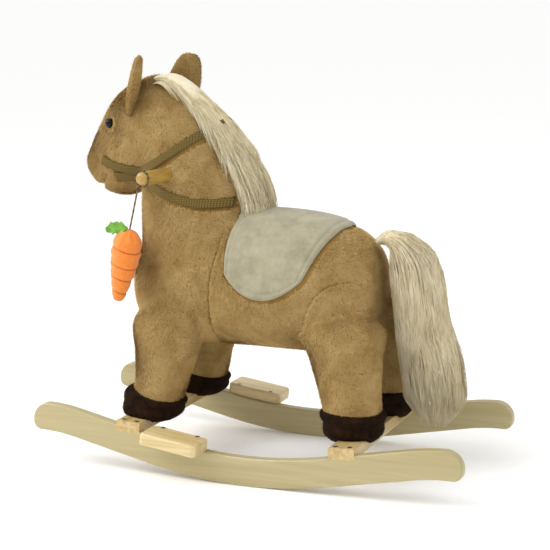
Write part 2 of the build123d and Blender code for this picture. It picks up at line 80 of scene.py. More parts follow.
def add_node(material, kind, settings=None, inputs=None):
    """Adds one node, sets its properties, then gives each input a value or a link."""
    node = material.node_tree.nodes.new(kind)
    for name, value in (settings or {}).items():
        if name == "stops":
            for place, code in value[2:]:
                node.color_ramp.elements.new(place)
            for element, (place, code) in zip(node.color_ramp.elements, sorted(value)):
                element.position = place
                element.color = colour(code)
        else:
            setattr(node, name, value)
    for name, value in (inputs or {}).items():
        if isinstance(value, bpy.types.NodeSocket):
            material.node_tree.links.new(value, node.inputs[name])
        else:
            node.inputs[name].default_value = value
    return node


def new_finish(name):
    """A node material and the output that gives places on the piece, in metres."""
    material = bpy.data.materials.new(name)
    material.use_nodes = True
    return material, add_node(material, "ShaderNodeTexCoord").outputs["Object"]


def blend(material, first, share, second):
    """The weighted sum first * share + second * (1 - share)."""
    part = add_node(
        material, "ShaderNodeMath", {"operation": "MULTIPLY"}, {0: first, 1: share}
    ).outputs[0]
    return add_node(
        material, "ShaderNodeMath", {"operation": "MULTIPLY_ADD"},
        {0: second, 1: round(1 - share, 6), 2: part},
    ).outputs[0]


def surface(material, stops, factor, bump=None, stitch=None, **values):
    """Finishes the shader: tones over a factor, a thread colour where the attribute "stitch" is 1,
    a bump as (height, strength, depth in mm), and inputs by name."""
    shader = material.node_tree.nodes["Principled BSDF"]
    tone = add_node(
        material, "ShaderNodeValToRGB", {"stops": stops}, {"Fac": factor}
    ).outputs["Color"]
    if stitch:
        line = add_node(material, "ShaderNodeAttribute", {"attribute_name": "stitch"})
        tone = add_node(
            material, "ShaderNodeMix", {"data_type": "RGBA"},
            {0: line.outputs["Fac"], 6: tone, 7: colour(stitch)},
        ).outputs[2]
    material.node_tree.links.new(tone, shader.inputs["Base Color"])
    if bump:
        height, strength, depth = bump
        relief = add_node(
            material, "ShaderNodeBump", None,
            {"Height": height, "Strength": strength, "Distance": depth * MM},
        )
        material.node_tree.links.new(relief.outputs["Normal"], shader.inputs["Normal"])
    for name, value in values.items():
        shader.inputs[name.replace("_", " ")].default_value = value
    return material


def mottled(name, stops, grain, detail=2.0, rough=0.5, bump=None, **values):
    """Tones over a noise of grain millimetres, which is also the bump's height if there is one."""
    material, place = new_finish(name)
    specks = add_node(
        material, "ShaderNodeTexNoise", None,
        {"Vector": place, "Scale": 1 / (grain * MM), "Detail": detail, "Roughness": rough},
    ).outputs["Fac"]
    return surface(material, stops, specks, bump and (specks, *bump), **values)


print("sRGB #808080 is", round(colour("#808080")[0], 3), "in linear light")

# %% [markdown]
# One large soft lamp in front and above gives the plush its soft modelling, a second from the
# tail side keeps the rump readable, and a surround that is bright overhead and dimmer at the
# sides fills the shadows. The floor is a wide pale sheet that isn't part of the horse.

# %% Floor and lamps
floor_mesh = bpy.data.meshes.new("floor")
edge = 900.0
floor_mesh.from_pydata(
    [(-edge, -edge, 0), (edge, -edge, 0), (edge, edge, 0), (-edge, edge, 0)], [], [(0, 1, 2, 3)]
)
floor = bpy.data.objects.new("floor", floor_mesh)
scene.collection.objects.link(floor)
# Matt white paper: no shine, and a little light of its own as an evenly lit backdrop has.
floor_paint = new_finish("matt white paper floor")[0]
shader = floor_paint.node_tree.nodes["Principled BSDF"]
shader.inputs["Base Color"].default_value = colour("#FBFBFA")
shader.inputs["Emission Color"].default_value = colour("#FFFFFF")
shader.inputs["Emission Strength"].default_value = 0.09
shader.inputs["Roughness"].default_value = 0.9
floor_mesh.materials.append(floor_paint)

world = bpy.data.worlds.new("surround")
world.use_nodes = True
direction = add_node(world, "ShaderNodeTexCoord").outputs["Generated"]
height = add_node(world, "ShaderNodeSeparateXYZ", None, {"Vector": direction}).outputs["Z"]
overhead = add_node(
    world, "ShaderNodeValToRGB", {"stops": [(0.0, "#A8A8A8"), (0.75, "#FFFFFF")]}, {"Fac": height}
).outputs["Color"]
background = world.node_tree.nodes["Background"]
world.node_tree.links.new(overhead, background.inputs["Color"])
background.inputs["Strength"].default_value = 1.05
scene.world = world
for lamp_name, place, size, power in (
    ("key_lamp", (-1.3, -2.0, 2.8), 1.5, 28.0),
    ("tail_lamp", (1.9, -1.1, 2.5), 1.5, 10.0),
    ("nose_lamp", (-2.4, -0.9, 1.7), 1.2, 32.0),
):
    lamp_data = bpy.data.lights.new(lamp_name, "AREA")
    lamp_data.size = size
    lamp_data.energy = power
    lamp = bpy.data.objects.new(lamp_name, lamp_data)
    lamp.location = place
    lamp.rotation_euler = (Vector((0, 0, 0.3)) - Vector(place)).to_track_quat("-Z", "Y").to_euler()
    scene.collection.objects.link(lamp)
print("floor and", len(bpy.data.lights), "lamps")

# %% [markdown]
# The boards are clear-lacquered pine. Pine sawn along the trunk shows long, nearly straight
# growth lines a few millimetres apart, drawn out along the board, over a slow drift of tone.
# Stretching the pattern's space along the board gives both from one noise.

# %% Pine, slat wood and birch dowel
def wood_finish(name, pale, dark, along, line_gap, roughness=0.42):
    """Growth lines line_gap millimetres apart, drawn out along one axis, on a slow drift."""
    material, place = new_finish(name)
    stretch = [1.0, 1.0, 1.0]
    stretch[along] = 0.045
    grain_space = add_node(
        material, "ShaderNodeMapping", None, {"Vector": place, "Scale": stretch}
    ).outputs["Vector"]
    lines = add_node(
        material, "ShaderNodeTexNoise", None,
        {"Vector": grain_space, "Scale": 0.5 / (line_gap * MM), "Detail": 5.0,
         "Roughness": 0.6, "Distortion": 0.35},
    ).outputs["Fac"]
    drift = add_node(
        material, "ShaderNodeTexNoise", None,
        {"Vector": grain_space, "Scale": 14.0, "Detail": 2.0},
    ).outputs["Fac"]
    return surface(
        material, [(0.36, pale), (0.66, dark)], blend(material, lines, 0.72, drift),
        (lines, 0.10, 0.25), Roughness=roughness, Coat_Weight=0.25, Coat_Roughness=0.3,
    )


# Planed pine under satin lacquer gives the eye a pale straw tone, faint lines and a soft shine;
# the birch dowel is warmer and closer-grained; the sawn frame inside is dull.
rocker_pine = wood_finish("pine rocker, clear satin lacquer", "#BBAE83", "#A99B6B", 0, 5.0)
footrest_pine = wood_finish("pine footrest, clear satin lacquer", "#E3CF9E", "#C7AD73", 0, 4.0)
slat_pine = wood_finish("pine slat, clear satin lacquer", "#D4BC85", "#AE8F55", 1, 4.0)
birch_dowel = wood_finish("birch dowel, clear satin lacquer", "#B99648", "#94702A", 1, 3.0, 0.36)
sawn_softwood = wood_finish("sawn softwood frame", "#D8BC88", "#B08F58", 0, 4.0, 0.7)


def dress(node, material):
    """Gives a frame node its finish."""
    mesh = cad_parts[node].data
    mesh.materials.clear()
    mesh.materials.append(material)


for node in ("rocker_left", "rocker_right"):
    dress(node, rocker_pine)
for node in ("footrest_left", "footrest_right"):
    dress(node, footrest_pine)
for node in ("front_slat", "rear_slat"):
    dress(node, slat_pine)
dress("handle", birch_dowel)
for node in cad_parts:
    if node.endswith(("_post", "_board")):
        dress(node, sawn_softwood)
print("wood on", sum(o.data.materials[0].name.startswith(("pine", "birch")) for o in
                     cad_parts.values() if o.data.materials), "nodes")

# %% [markdown]
# Screws, bolts and washers are zinc-plated steel: a metal with a fine grey mottling from the
# plating bath. The eyes are moulded safety eyes in near-black plastic, as glossy as a button.

# %% Zinc and eye plastic
# Zinc plating gives the eye a dull grey metal with a faint cloudiness.
zinc = mottled("zinc-plated steel, dull", [(0.35, "#8E8E8A"), (0.7, "#C4C4BE")], 1.5, 3.0,
               Metallic=1.0, Roughness=0.42)
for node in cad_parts:
    if "screws" in node or node in ("leg_bolts", "leg_washers"):
        dress(node, zinc)

# Polished plastic gives the eye one sharp highlight on near black.
eye_plastic = mottled("moulded eye plastic, polished black",
                      [(0.3, "#020201"), (0.8, "#070504")], 2.0, Roughness=0.06,
                      Specular_IOR_Level=0.22)
dress("eyes", eye_plastic)
print("zinc and eye plastic ready")

# %% [markdown]
# Every sewn piece starts as arrays of points and faces. One helper lays such arrays into a mesh,
# one shows a mesh as a piece that rides on a body, and one writes modifiers into a piece.

# %% From arrays to pieces
def lay_mesh(name, points, face_sets):
    """A mesh from a point array in millimetres and arrays of faces, all smooth."""
    mesh = bpy.data.meshes.new(name)
    points = np.asarray(points, dtype=np.float64) * MM
    corners = np.concatenate([np.asarray(faces, dtype=np.int32).ravel() for faces in face_sets])
    sizes = np.concatenate([np.full(len(faces), np.shape(faces)[1]) for faces in face_sets])
    mesh.vertices.add(len(points))
    mesh.vertices.foreach_set("co", points.astype(np.float32).ravel())
    mesh.loops.add(len(corners))
    mesh.loops.foreach_set("vertex_index", corners)
    mesh.polygons.add(len(sizes))
    mesh.polygons.foreach_set("loop_start", (np.cumsum(sizes) - sizes).astype(np.int32))
    mesh.polygons.foreach_set("use_smooth", np.ones(len(sizes), dtype=bool))
    mesh.update(calc_edges=True)
    mesh.validate()
    return mesh


def keep_piece(mesh, finish, body="horse"):
    """Shows a mesh as a piece that rides on a body."""
    if finish is not None:
        mesh.materials.clear()
        mesh.materials.append(finish)
    piece = bpy.data.objects.new(mesh.name, mesh)
    scene.collection.objects.link(piece)
    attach(piece, body)
    return piece


def settle(piece):
    """Writes a piece's modifiers into its mesh."""
    bpy.context.view_layer.update()
    shape = piece.evaluated_get(bpy.context.evaluated_depsgraph_get())
    settled = bpy.data.meshes.new_from_object(shape)
    settled.name = piece.data.name
    piece.modifiers.clear()
    piece.data = settled
    settled.polygons.foreach_set("use_smooth", np.ones(len(settled.polygons), dtype=bool))
    return piece


def thicken(piece, millimetres, offset, rounded=False, painted=""):
    """Solidify, by a painted vertex group if named, then one level of Subdivision if rounded."""
    wall = piece.modifiers.new("wall", "SOLIDIFY")
    wall.thickness = millimetres * MM
    wall.offset = offset
    wall.vertex_group = painted
    wall.thickness_vertex_group = 0.0
    if rounded:
        rounding = piece.modifiers.new("rounding", "SUBSURF")
        rounding.levels = rounding.render_levels = 1
    return settle(piece)


print("mesh helpers ready")

# %% [markdown]
# Grids come in two kinds: open, for cloth, and wrapped into a tube that a pole closes at each end.
# Sizes that change along a limb are given at a few places, with a smooth curve through them.

# %% Grids, tubes and curves
def unit(vectors):
    """Each vector divided by its length."""
    return vectors / np.maximum(np.linalg.norm(vectors, axis=-1, keepdims=True), 1e-6)


def grid_faces(rows, columns):
    """Four-cornered faces of an open grid of points."""
    row, column = np.meshgrid(np.arange(rows - 1), np.arange(columns - 1), indexing="ij")
    corner = row * columns + column
    return np.stack(
        [corner, corner + 1, corner + columns + 1, corner + columns], axis=-1
    ).reshape(-1, 4)


def ring_faces(rows, columns):
    """Faces between rings of points, with a fan to a pole at each end; the poles come last."""
    row, column = np.meshgrid(np.arange(rows - 1), np.arange(columns), indexing="ij")
    beside = (column + 1) % columns
    quads = np.stack(
        [row * columns + column, row * columns + beside,
         (row + 1) * columns + beside, (row + 1) * columns + column], axis=-1,
    ).reshape(-1, 4)
    turn = np.arange(columns)
    first = np.stack([(turn + 1) % columns, turn, np.full(columns, rows * columns)], axis=-1)
    last_row = (rows - 1) * columns
    last = np.stack(
        [last_row + turn, last_row + (turn + 1) % columns,
         np.full(columns, rows * columns + 1)], axis=-1,
    )
    return quads, np.concatenate([first, last])


def closed_tube(rings):
    """Points and faces of a closed skin over rings shaped (rows, columns, 3)."""
    rows, columns = rings.shape[:2]
    poles = np.stack([rings[0].mean(axis=0), rings[-1].mean(axis=0)])
    return np.concatenate([rings.reshape(-1, 3), poles]), ring_faces(rows, columns)


def along(stations, values, places):
    """Cubic pieces through the values at the stations, with slopes taken from the neighbours."""
    stations, values = np.asarray(stations, float), np.asarray(values, float)
    if stations[0] > stations[-1]:
        stations, values = stations[::-1], values[::-1]
    slopes = np.gradient(values, stations, axis=0)
    left = np.clip(np.searchsorted(stations, places) - 1, 0, len(stations) - 2)
    gap = (stations[left + 1] - stations[left])[:, None]
    t = (np.asarray(places)[:, None] - stations[left][:, None]) / gap
    return (
        (2 * t**3 - 3 * t**2 + 1) * values[left] + (t**3 - 2 * t**2 + t) * gap * slopes[left]
        + (3 * t**2 - 2 * t**3) * values[left + 1] + (t**3 - t**2) * gap * slopes[left + 1]
    )


def run_along(path):
    """How far along a flat path each of its points lies."""
    return np.concatenate([[0], np.cumsum(np.hypot(*np.diff(path, axis=0).T))])


def slope_along(reach, path, places, step):
    """The path's direction at some places, from the points a step before and after."""
    return unit(along(reach, path, np.minimum(places + step, reach[-1]))
                - along(reach, path, np.maximum(places - step, 0)))


def oval(turn, squareness):
    """Points of the curve |x|^k + |y|^k = 1 at the given turns."""
    reach = (np.abs(np.cos(turn)) ** squareness + np.abs(np.sin(turn)) ** squareness) ** (
        -1 / squareness
    )
    return np.cos(turn) * reach, np.sin(turn) * reach


print("a quarter turn of a squarish oval", np.round(oval(np.pi / 4, 2.2), 3))

# %% [markdown]
# The head is turned a little to the horse's right, about the middle of the dowel. All that sits
# on the head is first placed on a head that looks straight ahead, and then turned by the same
# angle.

# %% The turn of the head
head_turn = math.radians(-11.7)
dowel_x = -137.6


def turn_head(points):
    """Points of the straight head, turned about the upright through the dowel's middle."""
    points = np.asarray(points, dtype=float)
    x, y, z = points[..., 0] - dowel_x, points[..., 1], points[..., 2]
    return np.stack(
        [dowel_x + x * math.cos(head_turn) - y * math.sin(head_turn),
         x * math.sin(head_turn) + y * math.cos(head_turn), z], axis=-1,
    )


print("head turned", round(math.degrees(-head_turn), 1), "degrees to its right")

# %% [markdown]
# The body is sewn from plush panels over loose filling. Barrel, neck, head and legs are each
# rings carried along a line: the barrel along its length, the legs and neck upwards, the head
# down towards the nose. The rings are a little squarer than ellipses, as stuffed limbs are.

# %% Barrel, neck, head and legs as closed tubes
AROUND = 72
circle = np.linspace(0, 2 * np.pi, AROUND, endpoint=False)


def barrel():
    """Rings across X whose size follows a superellipse along the body, lower at both ends."""
    u = np.sin(np.linspace(-1.50, 1.50, 60))
    share = (1 - np.abs(u) ** 3.5) ** (1 / 3.5)
    side, rise = oval(circle, 2.2)
    x = np.broadcast_to((-22.0 + 200.0 * u)[:, None], (60, AROUND))
    y = 105.0 * share[:, None] * side
    z = (291.0 - 12.0 * u**2)[:, None] + 104.0 * share[:, None] * rise
    return np.stack([x, y, z], axis=-1)


def neck():
    """Level rings given by their front, back and half width at seven heights."""
    heights = (318, 385, 430, 480, 530, 572, 594)
    sizes = ((-212, -46, 97), (-217, -35, 85), (-219, -49, 71), (-216, -66, 61),
             (-214, -94, 57), (-208, -128, 46), (-186, -160, 16))
    z = np.linspace(318, 594, 50)
    front, back, half_width = along(heights, sizes, z).T
    step, side = oval(circle, 2.2)
    x = ((front + back) / 2)[:, None] + ((back - front) / 2)[:, None] * step
    return np.stack([x, half_width[:, None] * side, np.broadcast_to(z[:, None], x.shape)], axis=-1)


def head():
    """Leaning rings from the poll to the nose, given by half width and half depth."""
    places = (0.0, 0.065, 0.21, 0.405, 0.61, 0.80, 0.935, 1.0)
    sizes = ((12, 14), (46, 46), (64, 69), (67, 78), (60, 69), (51, 56), (38, 40), (9, 10))
    t = 0.5 - 0.5 * np.cos(np.linspace(0, np.pi, 54))
    half_width, half_depth = along(places, sizes, t).T
    side, rise = oval(circle, 2.2)
    lean = math.radians(50)
    x = (-140 - 178 * t)[:, None] - half_depth[:, None] * rise * math.sin(lean)
    z = (583 - 156 * t)[:, None] + half_depth[:, None] * rise * math.cos(lean)
    return turn_head(np.stack([x, half_width[:, None] * side, z], axis=-1))


FORE_LEG = ((262, -148, 58, 26, 22), (235, -150, 62, 53, 44), (180, -152, 74, 48, 47),
            (140, -157, 80, 40, 43), (112, -162, 84, 38, 41), (92, -166, 85, 35, 37))
HIND_LEG = ((268, 126, 54, 28, 22), (240, 132, 58, 62, 47), (190, 142, 66, 54, 47),
            (140, 151, 74, 45, 44), (112, 156, 76, 42, 42), (92, 157, 76, 37, 37))


def limb(rings, side, rows=34):
    """Level rings given by height, x, distance to the side, half length and half width."""
    table = np.array(rings, dtype=float)
    z = np.linspace(table[0, 0], table[-1, 0], rows)
    x, y, half_length, half_width = along(table[:, 0], table[:, 1:], z).T
    step, across = oval(circle, 2.25)
    return np.stack(
        [x[:, None] + half_length[:, None] * step,
         side * (y[:, None] + half_width[:, None] * across),
         np.broadcast_to(z[:, None], (rows, AROUND))], axis=-1,
    )


blanks = [barrel(), neck(), head()]
blanks += [limb(rings, side) for rings in (FORE_LEG, HIND_LEG) for side in (-1, 1)]
print(len(blanks), "stuffed tubes laid out")

# %% [markdown]
# Voxel remeshing fuses the tubes into one skin, as the panels are sewn into one, and a few
# smoothing passes pull the folds between limb and barrel soft. A cloth simulation then inflates
# the skin with the seams held still, so it swells between them. What follows lays the seams in.

# %% One skin from the tubes
SKIN_GRAIN = 4.0


def fused(tubes):
    """One mesh over overlapping closed tubes, remeshed at SKIN_GRAIN mm and softened."""
    points, quads, fans, start = [], [], [], 0
    for rings in tubes:
        tube_points, (tube_quads, tube_fans) = closed_tube(rings)
        points.append(tube_points)
        quads.append(tube_quads + start)
        fans.append(tube_fans + start)
        start += len(tube_points)
    mesh = lay_mesh("skin", np.concatenate(points), [np.concatenate(quads), np.concatenate(fans)])
    piece = keep_piece(mesh, None)
    remesh = piece.modifiers.new("fuse", "REMESH")
    remesh.mode = "VOXEL"
    remesh.voxel_size = SKIN_GRAIN * MM
    soften = piece.modifiers.new("soften", "SMOOTH")
    soften.iterations = 14
    soften.factor = 0.5
    return settle(piece)


def read_points(mesh):
    """The vertex places of a mesh, in millimetres."""
    flat = np.empty(len(mesh.vertices) * 3, dtype=np.float32)
    mesh.vertices.foreach_get("co", flat)
    return flat.reshape(-1, 3).astype(float) / MM


def read_normals(mesh):
    flat = np.empty(len(mesh.vertices) * 3, dtype=np.float32)
    mesh.vertices.foreach_get("normal", flat)
    return flat.reshape(-1, 3).astype(float)


def write_points(mesh, points):
    mesh.vertices.foreach_set("co", (points * MM).astype(np.float32).ravel())
    mesh.update()


skin = fused(blanks)
print("skin", len(skin.data.polygons), "faces")

# %% [markdown]
# The panels meet in a few visible seams: one down each shoulder behind the neck, one round the
# top of each hind leg, and one along the belly. How far each point of the skin is from a seam is
# a sum of simple distances, and a narrow bell of that distance is the groove.

# %% Seams and the filling's pressure
def seam_depth(points):
    """From 0 to 1, 1 on a seam: bells 5 mm wide about each seam's line."""
    x, y, z = points.T
    shoulder_x = np.interp(z, (197, 257, 299, 356), (-72, -69, -68, -56))
    shoulder = np.exp(-(((x - shoulder_x) / 3.4) ** 2)) * ((z > 190) & (z < 372) & (np.abs(y) > 30))
    haunch_r = np.hypot((x - 142) / 0.92, (z - 226) / 1.25)
    haunch = np.exp(-(((haunch_r - 66) / 3.4) ** 2)) * ((z > 232) & (np.abs(y) > 62) & (x < 178))
    belly = np.exp(-((y / 3.4) ** 2)) * (z < 215) * (np.abs(x) < 150)
    return np.clip(shoulder + 0.7 * haunch + 0.7 * belly, 0, 1)


def puff(piece, held, pressure, cap, frames=20):
    """Inflates a closed piece as cloth with its held points still, and moves no point past cap."""
    before = read_points(piece.data)
    sewn = piece.vertex_groups.new(name="sewn")
    for index in np.flatnonzero(held > 0.35).tolist():
        sewn.add([index], 1.0, "REPLACE")
    cloth = piece.modifiers.new("filling", "CLOTH")
    cloth.settings.vertex_group_mass = "sewn"
    cloth.settings.use_pressure = True
    cloth.settings.uniform_pressure_force = pressure
    cloth.settings.quality = 4
    cloth.settings.effector_weights.gravity = 0.0
    cloth.point_cache.frame_start = 1
    cloth.point_cache.frame_end = frames
    for frame_number in range(1, frames + 1):
        scene.frame_set(frame_number)
    shape = piece.evaluated_get(bpy.context.evaluated_depsgraph_get())
    after = read_points(shape.data)
    piece.modifiers.clear()
    piece.vertex_groups.clear()
    scene.frame_set(1)
    move = after - before
    size = np.linalg.norm(move, axis=1, keepdims=True)
    write_points(piece.data, before + move * np.minimum(1.0, cap / np.maximum(size, 1e-6)))
    print(piece.name, "puffed by up to", round(float(size.max()), 1), "mm before the cap")


puff(skin, seam_depth(read_points(skin.data)), 4.0, 3.0)
skin_points = read_points(skin.data)
skin_normals = read_normals(skin.data)
write_points(skin.data, skin_points - skin_normals * (3.2 * seam_depth(skin_points))[:, None])
print("seams laid in")

# %% [markdown]
# The muzzle is modelled by needlework: the mouth is a stitch line pulled in from the corner to
# under the nose, and each nostril is a short pulled stitch. Both are dents of 4 to 7 mm along a
# short path, made the same way as the seams, and so are the shallow sockets of the eyes.

# %% Mouth and nostrils
def dent_along(points, path, width, depth):
    """A depth in millimetres that falls off as a bell with the distance to a path."""
    path = np.asarray(path, dtype=float)
    steps = np.concatenate([a + (b - a) * np.linspace(0, 1, 12)[:, None]
                            for a, b in zip(path[:-1], path[1:])])
    near = np.full(len(points), 1e9)
    for step in steps:
        near = np.minimum(near, np.sum((points - step) ** 2, axis=1))
    return depth * np.exp(-near / width**2)


mouth_lines, nostril_lines = [], []
for side in (-1, 1):
    mouth_lines.append(turn_head([(-312, side * 8, 424), (-300, side * 30, 426),
                                  (-286, side * 42, 434), (-276, side * 50, 446)]))
    nostril_lines.append(turn_head([(-320, side * 17, 462), (-314, side * 24, 457)]))
skin_points = read_points(skin.data)
muzzle = np.flatnonzero(skin_points[:, 0] < -230)
dent = np.zeros(len(skin_points))
for path in mouth_lines:
    dent[muzzle] += dent_along(skin_points[muzzle], path, 5.5, 6.5)
for path in nostril_lines:
    dent[muzzle] += dent_along(skin_points[muzzle], path, 5.0, 4.0)
for side in (-1, 1):
    socket = turn_head([(-262, side * 55, 529), (-254, side * 57, 529)])
    dent[muzzle] += dent_along(skin_points[muzzle], socket, 11.0, 2.5)
skin_normals = read_normals(skin.data)
write_points(skin.data, skin_points - skin_normals * dent[:, None])
print("muzzle needlework", round(float(dent.max()), 1), "mm deep")

# %% [markdown]
# Short plush is a knitted back with a pile of fine polyester, here golden brown. It looks soft
# because the pile scatters light at its edge, which sheen gives, and blotchy because strokes
# leave it lying in different directions: broad patches of a darker brown where it is brushed the
# wrong way. The back below the pile is painted darker than the tips, as painted shade deep in
# the pile, between the blades and in the bare seams and stitch lines.

# %% Plush finishes
def plush_finish(name, tones, patch=38.0, sheen=0.35, fuzz=0.9):
    """Tones from brushed-up dark to laid-down pale over patches of patch millimetres."""
    material, place = new_finish(name)
    patches = add_node(
        material, "ShaderNodeTexNoise", None,
        {"Vector": place, "Scale": 1 / (patch * MM), "Detail": 4.0, "Roughness": 0.62,
         "Distortion": 0.6},
    ).outputs["Fac"]
    tufts = add_node(
        material, "ShaderNodeTexNoise", None,
        {"Vector": place, "Scale": 1 / (2.6 * MM), "Detail": 2.0, "Roughness": 0.6},
    ).outputs["Fac"]
    return surface(
        material, tones, blend(material, patches, 0.74, tufts), (tufts, fuzz, 1.2),
        Roughness=0.9, Specular_IOR_Level=0.15, Sheen_Weight=sheen, Sheen_Roughness=0.45,
        Sheen_Tint=colour("#E6C88E"),
    )


# The knitted back is painted the darker brown between the blades, which is painted shade of the
# pile; the pile is a soft golden brown with a lit edge, and the hooves a brown that is nearly
# black, with no shine.
coat_back_painted_shade = plush_finish(
    "knitted plush back, golden brown", [(0.34, "#775A2B"), (0.56, "#93733F")]
)
coat_pile = plush_finish(
    "short polyester pile, golden brown",
    [(0.36, "#A68750"), (0.47, "#B6975F"), (0.64, "#C6A972")], fuzz=0.3, sheen=0.2,
)
hoof_pile = plush_finish(
    "short polyester pile, dark brown", [(0.36, "#120701"), (0.62, "#2E1A08")], 20.0, 0.0
)
skin.data.materials.append(coat_back_painted_shade)
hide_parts("torso", "neck", "head", "fore_left_leg", "fore_right_leg",
            "hind_left_leg", "hind_right_leg")
print("coat finishes ready")

# %% [markdown]
# The hooves are the lower ends of the legs in dark brown plush, a little wider than the leg and
# pushed down over the slats, so they bulge over the slat's edges. The front hooves' upper seam
# slants, higher at the toe. The points that would sink into a slat are lifted onto it.

# %% Hooves
SLATS = {"fore": (-182.0, 82.0, math.tan(math.radians(4.0))),
         "hind": (166.0, 75.5, math.tan(math.radians(-2.5)))}
FORE_HOOF = ((116, -165, 85, 36, 38), (113, -166, 85, 42, 44.5), (97, -170, 86.5, 46, 47),
             (82, -172, 86.5, 44.5, 46), (75, -172, 86.5, 36, 38))
HIND_HOOF = ((116, 157, 76, 37, 38), (113, 157, 76, 43.5, 44.5), (94, 158, 76, 45, 46),
             (78, 158, 76, 43.5, 44), (70, 158, 76, 36, 36))


def hoof(name, rings, side, end, slant):
    """A closed tube whose upper end is sheared by slant and whose sole rests on its slat."""
    points, faces = closed_tube(limb(rings, side, rows=26))
    x, z = points[:, 0], points[:, 2]
    high = np.clip((z - 72) / 44, 0, 1)
    z = z - slant * (x - rings[0][1]) * high**1.5
    slat_x, slat_top, pitch = SLATS[end]
    floor_here = slat_top - (x - slat_x) * pitch + 0.4
    over = np.clip((23.0 - np.abs(x - slat_x)) / 2.5, 0, 1)
    points[:, 2] = np.where(z < floor_here, z + (floor_here - z) * over, z)
    piece = keep_piece(lay_mesh(name, points, faces), hoof_pile)
    return piece


hooves = []
for side, side_name in ((-1, "left"), (1, "right")):
    for end, rings, slant in (("fore", FORE_HOOF, 0.26), ("hind", HIND_HOOF, 0.05)):
        piece = hoof(f"{end}_{side_name}_hoof_plush", rings, side, end, slant)
        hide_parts(f"{end}_{side_name}_hoof")
        hooves.append(piece)
print(len(hooves), "hooves")

# %% [markdown]
# An ear is a small flat bag of plush, turned and pressed into a shallow cup before it is sewn
# into the head. It is a leaf-shaped sheet: across its width it bends forwards at both edges, and
# along its length it leans back. Solidify then gives it its filling.

# %% Ears
EAR_LENGTH, EAR_HALF = 90, 27.0


def ear(name, side, place, cup, droop):
    """Along the length 0 to 1 and across -1 to 1: width from a leaf profile, edges cupped."""
    facing, lean = math.radians(33), math.radians(13)
    up = np.array((math.sin(lean), side * 0.06, math.cos(lean)))
    mouth = np.array((-math.cos(facing), side * math.sin(facing), 0))
    width = np.cross(up, mouth)
    length, across = np.meshgrid(np.linspace(0, 1, 26), np.linspace(-1, 1, 17), indexing="ij")
    leaf = along((0, 0.15, 0.4, 0.7, 0.9, 0.97, 1),
                 np.array([[0.62, 0.84, 1, 0.88, 0.60, 0.40, 0.12]]).T, length.ravel())
    half = EAR_HALF * leaf.reshape(length.shape)
    straight = (
        np.array((place, side * 58, 546)) + length[..., None] * EAR_LENGTH * up
        + (across * half)[..., None] * unit(width)
        + (cup * (across**2 - 0.4) * half / EAR_HALF - droop * length**2)[..., None] * mouth
    )
    mesh = lay_mesh(name, turn_head(straight).reshape(-1, 3), [grid_faces(*length.shape)])
    piece = keep_piece(mesh, coat_back_painted_shade)
    thicken(piece, 7.0, 0.0, rounded=True)
    return piece


ear_left = ear("ear_left_plush", -1, -214, 13.0, 2.0)
ear_right = ear("ear_right_plush", 1, -207, 10.0, 5.0)
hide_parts("ear_left")
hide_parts("ear_right")
print("ears", len(ear_left.data.polygons), "faces each")

# %% [markdown]
# The saddle is a rounded blanket of suede-like cloth with a thin filling, laid over the back and
# sewn on near its edge. Its sheet is worked out round the barrel, pulled onto the skin, and
# thickened by an amount painted on each point: thin at the rim, nipped at the stitch line, full
# inside it.

# %% Saddle cloth
# Brushed cloth gives the eye a matt grey-beige with soft scuffs and a very fine nap.
saddle_cloth, place = new_finish("brushed saddle cloth, pale grey-beige")
scuffs = add_node(
    saddle_cloth, "ShaderNodeTexNoise", None,
    {"Vector": place, "Scale": 1 / (30 * MM), "Detail": 5.0, "Roughness": 0.7},
).outputs["Fac"]
nap = add_node(
    saddle_cloth, "ShaderNodeTexNoise", None, {"Vector": place, "Scale": 1 / (0.9 * MM)}
).outputs["Fac"]
surface(saddle_cloth, [(0.32, "#8D866C"), (0.5, "#9D967B"), (0.7, "#ABA48A")], scuffs,
        (nap, 0.25, 0.3), Roughness=0.8, Sheen_Weight=0.25)
print("saddle cloth ready")

# %% [markdown]
# The corners of the grid are drawn in by a square root, which makes them round without making
# the edge in between shorter. The rows then turn round the barrel.

# %% Saddle
def saddle_sheet(rows=110, columns=70):
    """A square grid rounded at its corners, then bent round the barrel.

    The corners come from u' = u * sqrt(1 - k v^2 / 2) and the same for v; u' runs along the
    horse between two edges that depend on v', and v' is the turn round the barrel.
    """
    v, u = np.meshgrid(np.linspace(-1, 1, rows), np.linspace(-1, 1, columns), indexing="ij")
    round_u, round_v = u * np.sqrt(1 - 0.36 * v**2), v * np.sqrt(1 - 0.36 * u**2)
    down = np.abs(round_v)
    front = np.interp(down, (0, 0.3, 0.55, 0.8, 1), (-36, -42, -49, -55, -58))
    back = np.interp(down, (0, 0.3, 0.55, 0.8, 1), (128, 122, 112, 101, 92))
    x = (front + back) / 2 + (back - front) / 2 * round_u
    turn = round_v * math.radians(98)
    along_body = (x + 22) / 200
    share = (1 - np.abs(along_body) ** 3.5) ** (1 / 3.5)
    rise, side = oval(turn, 2.2)
    y = (105 * share + 8) * side
    z = 291 - 12 * along_body**2 + (104 * share + 8) * rise
    rim = np.minimum((1 - np.abs(u)) * 70, (1 - np.abs(v)) * 180)
    fullness = 0.25 + 0.75 * np.clip(rim / 7, 0, 1) ** 0.5
    fullness -= 0.33 * np.exp(-(((rim - 9) / 2.2) ** 2))
    return np.stack([x, y, z], axis=-1).reshape(-1, 3), grid_faces(rows, columns), fullness.ravel()


def pull_onto_skin(piece, gap, sideways=False):
    """Shrinkwraps a sheet onto the skin, a gap above it, along Y if sideways."""
    wrap = piece.modifiers.new("onto skin", "SHRINKWRAP")
    wrap.target = skin
    wrap.offset = gap * MM
    wrap.wrap_mode = "ABOVE_SURFACE"
    if sideways:
        wrap.wrap_method = "PROJECT"
        wrap.use_project_y = True
        wrap.use_negative_direction = True
        wrap.use_positive_direction = True


